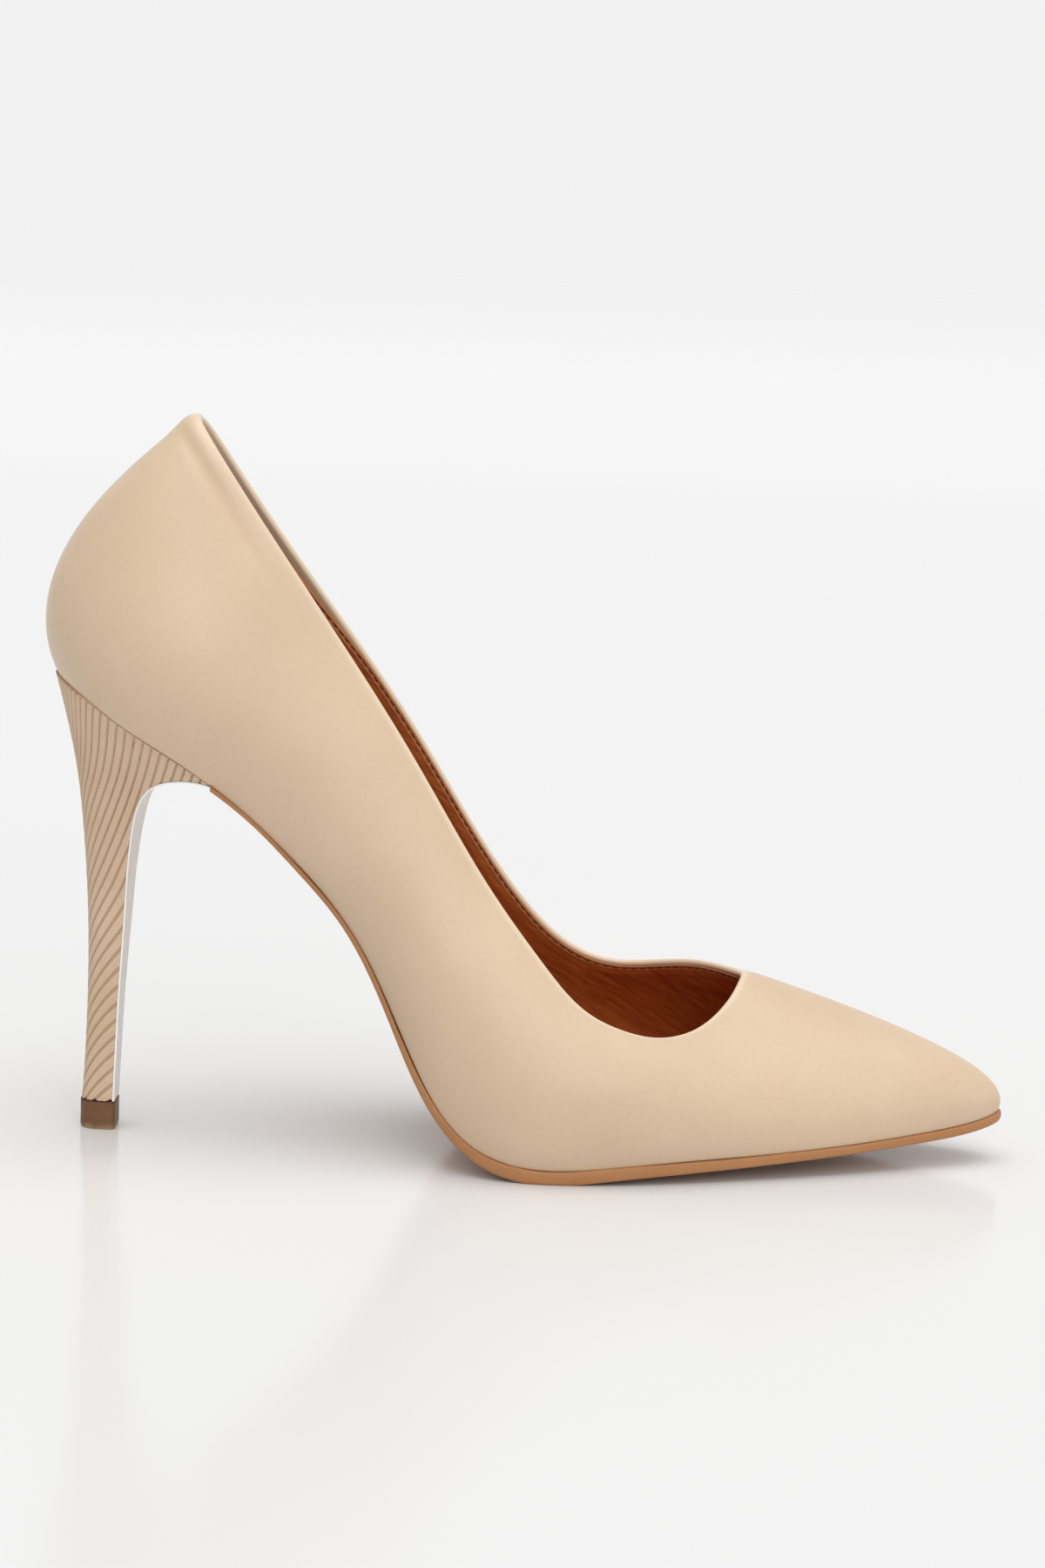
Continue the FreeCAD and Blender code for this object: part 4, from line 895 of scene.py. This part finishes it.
def rounded_layer(node_name, look, outline, middle, low, high, radius, squareness, rows,
                  closed=False, extra=None):
    """Layer with a rounded edge: a plan outline, and heights as functions of x and y."""
    edge, outward = outline
    inner_edge = edge - outward * radius
    plan = [middle + (inner_edge - middle) * share for share in np.linspace(0.0, 1.0, rows)]
    angles = np.linspace(-math.pi / 2, math.pi / 2, 13)[1:-1]
    out_share = np.abs(np.cos(angles)) ** squareness
    up_share = np.sign(np.sin(angles)) * np.abs(np.sin(angles)) ** squareness
    loops = [(row, 0.0) for row in plan]
    loops += [(inner_edge + outward * radius * out, (up + 1) / 2)
              for out, up in zip(out_share, up_share)]
    loops += [(row, 1.0) for row in plan[::-1]]
    points = []
    for row, share in loops:
        bottom, top = low(row[:, 0], row[:, 1]), high(row[:, 0], row[:, 1])
        points.append(np.column_stack([row, bottom + (top - bottom) * share]))
    points = np.array(points)
    total_rows, count, _ = points.shape
    faces = grid_faces(total_rows, count, close_columns=closed)
    if not closed:
        faces.append([row * count for row in range(total_rows)]
                     + [row * count + count - 1 for row in range(total_rows - 1, -1, -1)])
    edges = np.zeros((total_rows, count))
    edges[rows:-rows] = 1.0
    make_piece(node_name + "_visual", look, [node_name], points, faces,
               {"edge": edges, **(extra(points, rows) if extra else {})})


def build_outsole():
    """Outsole with a rounded edge, ground flat where it stands on the floor."""
    outset = OUTSOLE_OVERHANG
    ends = [float(np.interp(BREAST_X, ring_points(columns, outset)[0][:, 0], columns))
            for columns in side_stations()]
    columns = spread_stations(*ends, outset, OUTSOLE_COLUMNS)

    def low(x, y):
        return np.maximum(bed_height(x, -table(SOLE_THICKNESS, x)), 0.0)

    def high(x, y):
        return bed_height(x, -SOLE_SEAM)

    def tread(points, rows):
        # Painted shade on the underside within 2.5 mm of the floor, broken up in noisy spots.
        underside_shade = smoothstep(1.0 - points[..., 2] / 2.5)
        underside_shade[rows:] = 0.0
        return {"tread": underside_shade * (0.55 + 0.45 * noise_grid(points, 9.0))}

    rounded_layer("outsole", "sole_leather", ring_points(columns, outset),
                  middle_points(columns, outset, BREAST_X, 93.0), low, high, SOLE_EDGE_RADIUS, 0.8,
                  16, extra=tread)


def sock_outline(columns):
    """Plan outline where the sock meets the lining, with its outward directions."""
    depth = LINING_DEPTH + LINING_THICKNESS
    plan = wall_at(columns, np.full(len(columns), SOCK_RISE), depth)[0][0][:, :2]
    return plan, right_of(np.roll(plan, -1, axis=0) - np.roll(plan, 1, axis=0))


def swelling(x, y, middle_x, half_x, half_y):
    """Half ellipsoid of height 1 over a plan ellipse."""
    return np.sqrt(np.clip(1 - ((x - middle_x) / half_x) ** 2 - (y / half_y) ** 2, 0, 1))


def build_sock():
    """Leather sock, slightly raised over its two pads, with a rounded cut edge."""
    columns = spread_stations(0.0, float(COLUMNS), -SOCK_INSET, SOCK_COLUMNS)[:-1]

    def low(x, y):
        return bed_height(x, table(SOCK_LINE, x))

    def high(x, y):
        crown = swelling(x, y, 44.0, 42.0, 30.0) + swelling(x, y, -82.0, 17.0, 14.0)
        return bed_height(x, table(SOCK_LINE, x) + SOCK_THICKNESS) + SOCK_CROWN * crown

    rounded_layer("sock", "sock_leather", sock_outline(columns),
                  middle_points(columns, -SOCK_INSET, -84.0, 88.0), low, high, 0.4, 0.9, 18,
                  closed=True)


def build_pad(name, centre_x, half_x, low_height):
    """Foam pad with a crowned top under the sock."""
    turns = np.arange(PAD_COLUMNS) * 2 * math.pi / PAD_COLUMNS
    across = np.sign(np.cos(turns)) * np.abs(np.cos(turns)) ** PAD_CORNER
    aside = np.sign(np.sin(turns)) * np.abs(np.sin(turns)) ** PAD_CORNER
    loops = []
    for share, up in PAD_ROWS:
        x = centre_x + half_x * share * across
        y = share * aside * np.minimum(*np.abs(side_widths(x, -PAD_INSET)))
        height = low_height + PAD_THICKNESS * up * (0.93 + 0.05 * (1 - share))
        loops.append(np.stack([x, y, bed_height(x, height)], axis=1))
    piece = make_tube(name, "foam", np.array(loops))


# ---------------- heel

# Slant of the heel's ribs, as (height, turn round the heel for each step up), their pitch, and
# how far from the heel's back their middle line runs.
RIB_SLANT = [(6.5, 0.86), (30.0, 0.83), (45.0, 0.72), (60.0, 0.62), (70.0, 0.64), (75.0, 0.70),
             (81.0, 0.80), (87.0, 0.85), (94.0, 0.78), (102.0, 0.62)]
RIB_PITCH = [(6.5, 3.05), (30.0, 3.0), (45.0, 2.6), (60.0, 2.2), (80.0, 2.2), (90.0, 2.35),
             (110.0, 2.6)]
RIB_MIDDLE = [(6.5, 6.0), (60.0, 8.0), (90.0, 20.0), (110.0, 20.0)]
RIB_TOP = 110.0
RIB_SAMPLES = 600
RIB_DEPTH = 0.5
RIB_CURL = 0.45
CURL_WIDTH = 4.0
SECOND_GROOVE = 0.22
SECOND_SHADE = 0.3
JOINT_WAVE = 0.4
COVER_THICKNESS = 1.3
COARSE = 8
COVER_ROWS = 27 * COARSE + 1
COVER_COLUMNS = 50 * COARSE + 1
HEEL_FOOT = HEEL_SECTIONS[0][0]
TOP_LEVEL = len(HEEL_SECTIONS) - 1
FRONT_PLACE = HEEL_PLACES[-1]
SURFACE_STEP = 0.01
SEAT_CLEARANCE = -0.3
BACK_GAP = 0.4
BACK_GAP_FROM = -86.0
BACK_GAP_LENGTH = 12.0
SEAT_GUESS = 95.0
SEAT_STEPS = 14
SEAT_EASING = 0.65
STRIP_THICKNESS = 0.5
STRIP_THINNEST = 0.12
STRIP_LOOPS = 110
STRIP_CORNERS = 36
BREAST_SAMPLES = 1500
TOP_PIECE_CORNER = 1.1
TOP_JOINT_HEIGHT = 6.0
FLOOR_LIGHT_RIM_HEIGHT = 0.25
TOP_PIECE_ROWS = [(0.0, 0.62), (0.0, 0.86), (0.05, 0.93), (0.22, 0.975), (0.5, 1.0), (1.5, 1.0),
                  (3.0, 0.995), (4.5, 0.995), (5.6, 1.0), (6.05, 1.0), (6.28, 0.985),
                  (6.38, 0.95), (6.4, 0.85), (6.4, 0.6)]


def heel_sections():
    """Curves round the heel's sections, from the outer front round the back."""
    curves = []
    for height, half in HEEL_SECTIONS:
        side = [(x, y, height) for x, y in half]
        outline = [(x, -y, z) for x, y, z in side[::-1]] + side[1:]
        curves.append(spline(HEEL_PLACES, outline))
    return curves


SECTION_CURVES = heel_sections()
LEVELS = np.linspace(0, TOP_LEVEL, 1401)
LEVEL_HEIGHTS = spline(range(TOP_LEVEL + 1), [[h] for h, _ in HEEL_SECTIONS])(LEVELS)[:, 0]


def height_level(z):
    """Level up the heel's sections at a height."""
    return np.interp(z, LEVEL_HEIGHTS, LEVELS)


def heel_surface(places, levels):
    """Points of the heel's surface at flat lists of places and levels."""
    rows = np.stack([curve(places) for curve in SECTION_CURVES])
    bends = spline_bends(np.arange(len(rows)), rows.reshape(len(rows), -1), False)
    bends = bends.reshape(rows.shape)
    index = np.clip(levels.astype(int), 0, len(rows) - 2)
    spot = np.arange(len(places))
    left = (index + 1 - levels)[:, None]
    gone = (levels - index)[:, None]
    low, high = rows[index, spot], rows[index + 1, spot]
    low_bend, high_bend = bends[index, spot] / 6, bends[index + 1, spot] / 6
    return low_bend * left ** 3 + high_bend * gone ** 3 \
        + (low - low_bend) * left + (high - high_bend) * gone


def heel_points(places, levels, depth=0.0):
    """Points of the heel's surface at places round it and levels up it, moved inward."""
    places, levels, depth = np.broadcast_arrays(places, levels, depth)
    flat_places, flat_levels = places.ravel().astype(float), levels.ravel().astype(float)
    along = heel_surface(flat_places + SURFACE_STEP, flat_levels) \
        - heel_surface(flat_places - SURFACE_STEP, flat_levels)
    upward = heel_surface(flat_places, np.clip(flat_levels + SURFACE_STEP, 0, TOP_LEVEL)) \
        - heel_surface(flat_places, np.clip(flat_levels - SURFACE_STEP, 0, TOP_LEVEL))
    inward = unit(np.cross(upward, along)) * depth.reshape(-1, 1)
    return (heel_surface(flat_places, flat_levels) - inward).reshape(*places.shape, 3)


def arc_tables():
    """Length round the heel from its back, by place and level."""
    places = np.linspace(0, FRONT_PLACE, 301)
    levels = np.linspace(0, TOP_LEVEL, 71)
    runs = np.linalg.norm(np.diff(heel_points(places[None], levels[:, None]), axis=1), axis=2)
    arcs = np.concatenate([np.zeros((len(levels), 1)), np.cumsum(runs, axis=1)], axis=1)
    return places, levels, arcs


ARC_PLACES, ARC_LEVELS, ARC_TABLE = arc_tables()


def arc_length(places, levels):
    """Length round the heel from its back at places and levels."""
    column = places / ARC_PLACES[1]
    row = levels / ARC_LEVELS[1]
    column0 = np.clip(column.astype(int), 0, len(ARC_PLACES) - 2)
    row0 = np.clip(row.astype(int), 0, len(ARC_LEVELS) - 2)
    column1, row1 = column - column0, row - row0
    low, high = (ARC_TABLE[near, column0] * (1 - column1) + ARC_TABLE[near, column0 + 1] * column1
                 for near in (row0, row0 + 1))
    return low * (1 - row1) + high * row1


def place_at(x, z):
    """How far round the heel, from 0 at the back, its surface reaches x at a height."""
    places = np.linspace(0, FRONT_PLACE, 400)
    return float(np.interp(x, heel_points(places, height_level(z))[:, 0], places))


def spread_places(fronts, shares):
    """Places at shares of the way round from the back to each row's front, evenly in length."""
    samples = np.linspace(0, 1, 160)
    result = np.empty((len(fronts), len(shares)))
    for row, front in enumerate(fronts):
        arcs = np.interp(samples * front, ARC_PLACES, ARC_TABLE[-3])
        result[row] = np.interp(shares * arcs[-1], arcs, samples * front)
    return result


def seat_heights(places):
    """Height of the seat line at places round the heel, a little lower at its back."""
    heights = np.full(places.shape, SEAT_GUESS)
    for _ in range(SEAT_STEPS):
        x = heel_points(places, height_level(heights))[..., 0]
        gap = SEAT_CLEARANCE - BACK_GAP * smoothstep((BACK_GAP_FROM - x) / BACK_GAP_LENGTH)
        heights = (1 - SEAT_EASING) * heights + SEAT_EASING * bed_height(x, gap)
    return heights


def breast_line(count, inset):
    """Points (x, z) of the breast line moved back, from the tip down, and their directions."""
    places = chord_places(BREAST_LINE)
    points = spline(places, BREAST_LINE)(np.linspace(0, places[-1], count))
    back = right_of(np.gradient(points, axis=0))
    return points + back * inset, back


def breast_path(inset):
    """Cover's front edge from the bottom up to the seat, as (x, z, share of its length)."""
    points = breast_line(BREAST_SAMPLES, inset)[0][::-1]
    over = points[:, 1] > bed_height(points[:, 0], SEAT_CLEARANCE)
    if over.any():
        points = points[:int(np.argmax(over))]
    shares = chord_places(points)
    return np.column_stack([points, shares / shares[-1]])


def cover_grid():
    """Places round the heel and heights of the cover's points, in rows from the bottom up."""
    path = breast_path(STRIP_THICKNESS)
    shares = np.linspace(0, 1, COVER_ROWS)
    x_front, z_front = (np.interp(shares, path[:, 2], path[:, axis]) for axis in (0, 1))
    place_front = np.array([place_at(x, z) for x, z in zip(x_front, z_front)])
    across = np.linspace(-1, 1, COVER_COLUMNS)
    rise = seat_heights(np.abs(across) * place_front[-1]) - z_front[-1]
    grow = smoothstep((shares - 0.35) / 0.65) ** 1.2
    places = np.sign(across) * spread_places(place_front, np.abs(across))
    z = z_front[:, None] + rise * grow[:, None]
    z[-1] = seat_heights(np.abs(places[-1]))
    z[0] = HEEL_FOOT
    return places, z


def rib_turns():
    """Ribs passed on the way down a line at the middle of the heel's side, by height."""
    heights = np.linspace(HEEL_FOOT, RIB_TOP, RIB_SAMPLES)
    lean = table(RIB_SLANT, heights) - np.gradient(table(RIB_MIDDLE, heights), heights)
    passed = lean / table(RIB_PITCH, heights) * (heights[1] - heights[0])
    return np.stack([heights, np.cumsum(passed[::-1])[::-1]], axis=1)


def rib_swing(places, levels, z):
    """Share of the way from a rib's crest to the groove beside it."""
    arc = -np.sign(places) * arc_length(np.abs(places), levels)
    offset = arc - table(RIB_MIDDLE, z)
    curl = RIB_CURL * (1.0 - smoothstep((z - 30.0) / 35.0))
    offset = offset - curl * CURL_WIDTH * np.log(np.cosh(offset / CURL_WIDTH))
    phase = offset / table(RIB_PITCH, z) + table(rib_turns(), z)
    return np.abs(2 * (phase - np.floor(phase)) - 1)


def rim_faces(fine, coarse):
    """Faces between the borders of a fine and a coarse grid, given their point numbers."""
    faces = []
    for line in ((0, slice(None)), (-1, slice(None)), (slice(None), 0), (slice(None), -1)):
        fine_line, coarse_line = fine[line].tolist(), coarse[line].tolist()
        for step in range(len(coarse_line) - 1):
            span = fine_line[step * COARSE:(step + 1) * COARSE + 1]
            faces.append(span + coarse_line[step:step + 2][::-1])
    return faces


def build_heel_cover():
    """Ribbed cover of the heel, a thin closed shell whose ribs twist round it on the way down."""
    places, z = cover_grid()
    levels = height_level(z)
    swing = rib_swing(places, levels, z)
    groove = swing ** 3 + SECOND_GROOVE * (1.0 - swing) ** 4
    outer = heel_points(places, levels, groove * RIB_DEPTH)
    outer[0, :, 2] += JOINT_WAVE * groove[0]
    every = (slice(None, None, COARSE),) * 2
    inner = heel_points(places[every], levels[every], COVER_THICKNESS)
    start, small = z.size, z[every].size
    faces = grid_faces(*z.shape)
    faces += [face[::-1] for face in grid_faces(*inner.shape[:2], start=start)]
    faces += rim_faces(np.arange(start).reshape(z.shape),
                       np.arange(start, start + small).reshape(inner.shape[:2]))
    # Painted shade: darkest in the grooves, faint along the second groove mid-rib.
    shade = swing ** 3 + SECOND_SHADE * (1.0 - swing) ** 4
    make_piece("heel_cover_visual", "ribbed_cover", ["heel_cover"],
               np.concatenate([outer.reshape(-1, 3), inner.reshape(-1, 3)]), faces,
               {"groove": np.concatenate([shade.ravel(), np.zeros(small)])})


def build_breast_strip():
    """Smooth strip down the front of the heel, with eased edges."""
    loops = []
    for (x, z), (back_x, back_z) in zip(*breast_line(STRIP_LOOPS, 0.0)):
        place = place_at(x, max(z, HEEL_FOOT))
        half = float(heel_points(place, height_level(z))[1])
        room = float(bed_height(x, SEAT_CLEARANCE)) - z
        depth = STRIP_THICKNESS
        if back_z > 0.05:
            depth = min(depth, max(room / back_z, STRIP_THINNEST))
        loop = []
        for turn in np.linspace(0, 2 * math.pi, STRIP_CORNERS, endpoint=False):
            side, front = math.cos(turn), math.sin(turn)
            across = half * math.copysign(abs(side) ** 0.1, side)
            into = depth / 2 * (1 - math.copysign(abs(front) ** 0.3, front))
            loop.append((x + back_x * into, across, z + back_z * into))
        loops.append(loop)
    make_tube("heel_breast_strip", "breast_strip", np.array(loops))


def arc_points(centre, radius, first, last, count):
    """Points (x, y) of an arc round a centre."""
    turns = np.linspace(first, last, count)
    return centre + radius * np.column_stack([np.cos(turns), np.sin(turns)])


def build_top_piece():
    """Moulded rubber top piece: D-shaped, with eased edges and a slightly uneven upper joint."""
    low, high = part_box("top_piece")
    left, right, half = low[0] / MM, high[0] / MM, high[1] / MM
    quarter, corner = math.pi / 2, TOP_PIECE_CORNER
    outline = np.concatenate([
        arc_points((left + half, 0.0), half, quarter, 3 * quarter, 41),
        arc_points((right - corner, corner - half), corner, -quarter, 0.0, 9),
        arc_points((right - corner, half - corner), corner, 0.0, quarter, 9),
    ])
    middle = np.array([(left + right) / 2, 0.0])
    loops = np.array([np.column_stack([middle + (outline - middle) * scale,
                                       np.full(len(outline), z)])
                      for z, scale in TOP_PIECE_ROWS])
    ragged = loops[..., 2] + 0.25 * (noise_grid(loops, 1.6) - 0.5)
    # Painted shade in the joint at the top, and painted floor light on the lower rim.
    paints = {"joint": smoothstep((ragged - TOP_JOINT_HEIGHT) / 0.2),
              "rim": 1.0 - smoothstep((ragged - FLOOR_LIGHT_RIM_HEIGHT) / 0.4)}
    make_tube("top_piece", "top_piece_rubber", loops, paints)


# ---------------- assembly

build_upper()
for lining, (first_station, last_station) in LINING_SPANS.items():
    build_lining(lining, first_station, last_station)
build_stitches()
build_outsole()
build_sock()
for pad, (centre_x, half_x, low_height) in PADS.items():
    build_pad(pad, centre_x, half_x, low_height)
build_heel_cover()
build_breast_strip()
build_top_piece()

SLOT_NODES = {
    "textile_tape": ["topline_tape"],
    "stiffener": ["heel_counter", "toe_puff"],
    "interlining": ["side_interlining_outer", "side_interlining_inner"],
    "cork": ["bottom_filler"],
    "fibreboard": ["insole_board", "shank_board"],
    "steel": ["steel_shank", "shank_rivets", "heel_dowel", "heel_screw", "top_piece_pin"],
    "brass": ["heel_nails"],
    "heel_plastic": ["heel_core"],
}
for slot, node_names in SLOT_NODES.items():
    for node_name in node_names:
        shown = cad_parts[node_name]
        shown.data.materials.clear()
        shown.data.materials.append(MATERIALS[slot])


# ---------------- studio

# Soft lights, as (azimuth, elevation, strength, spread): azimuth 0 is in front, 90 at the toe.
SUNS = {
    "over": (15.0, 80.0, 1.72, 60.0),
    "front": (10.0, 25.0, 0.68, 40.0),
    "toe_side": (85.0, 8.0, 0.3, 40.0),
}
BACKGROUND = 0.888
AMBIENT = 0.52
GLOW_FROM, GLOW_TO = 0.55, 0.93
FLOOR = 60.0
FLOOR_ALBEDO = 0.755


for name, (azimuth, elevation, strength, spread) in SUNS.items():
    sun = bpy.data.lights.new(name, "SUN")
    sun.energy = strength
    sun.angle = math.radians(spread)
    show(name, sun).rotation_euler = (math.radians(90 - elevation), 0.0, math.radians(azimuth))

world = bpy.data.worlds.new("studio")
world.use_nodes = True
sky = world.node_tree
direction = node(sky, "ShaderNodeTexCoord").outputs["Generated"]
towards_back = node(sky, "ShaderNodeSeparateXYZ", inputs=(("Vector", direction),)).outputs["Y"]
glow = mapped(sky, towards_back, GLOW_FROM, GLOW_TO, AMBIENT, BACKGROUND, smooth=True)
sky.links.new(glow, sky.nodes["Background"].inputs["Strength"])
sky.nodes["Background"].inputs["Color"].default_value = (1.0, 1.0, 1.0, 1.0)
scene.world = world

floor_mesh = bpy.data.meshes.new("floor")
floor_mesh.from_pydata([(-FLOOR, -FLOOR, 0), (FLOOR, -FLOOR, 0), (FLOOR, FLOOR, 0),
                        (-FLOOR, FLOOR, 0)], [], [(0, 1, 2, 3)])
floor = show("floor", floor_mesh)
floor_look = Look("floor", (255, 255, 255), roughness=0.14, specular_ior_level=0.12)
floor_look.shader.inputs["Base Color"].default_value = (*(FLOOR_ALBEDO,) * 3, 1.0)
floor_mesh.materials.append(floor_look.material)

# Camera of the product view: in front of the outer side, a little above and turned clockwise.
CAMERA_PLACE = (0.01215, -0.79154, 0.19603)
CAMERA_FORWARD = (-0.01727, 0.98942, -0.14405)
CAMERA_ROLL = math.radians(1.95)
CAMERA_LENS = 83.16
camera_data = bpy.data.cameras.new("camera")
camera_data.lens = CAMERA_LENS
camera_data.sensor_width = 36.0
camera_data.clip_end = 30.0
camera = show("camera", camera_data)
forward = Vector(CAMERA_FORWARD).normalized()
level_right = forward.cross(Vector((0, 0, 1))).normalized()
level_up = level_right.cross(forward)
right = level_right * math.cos(CAMERA_ROLL) + level_up * math.sin(CAMERA_ROLL)
up = level_up * math.cos(CAMERA_ROLL) - level_right * math.sin(CAMERA_ROLL)
turn = Matrix((right, up, -forward)).transposed().to_4x4()
camera.matrix_world = Matrix.Translation(CAMERA_PLACE) @ turn
scene.camera = camera
scene.view_settings.view_transform = "Standard"
scene.view_settings.look = "None"
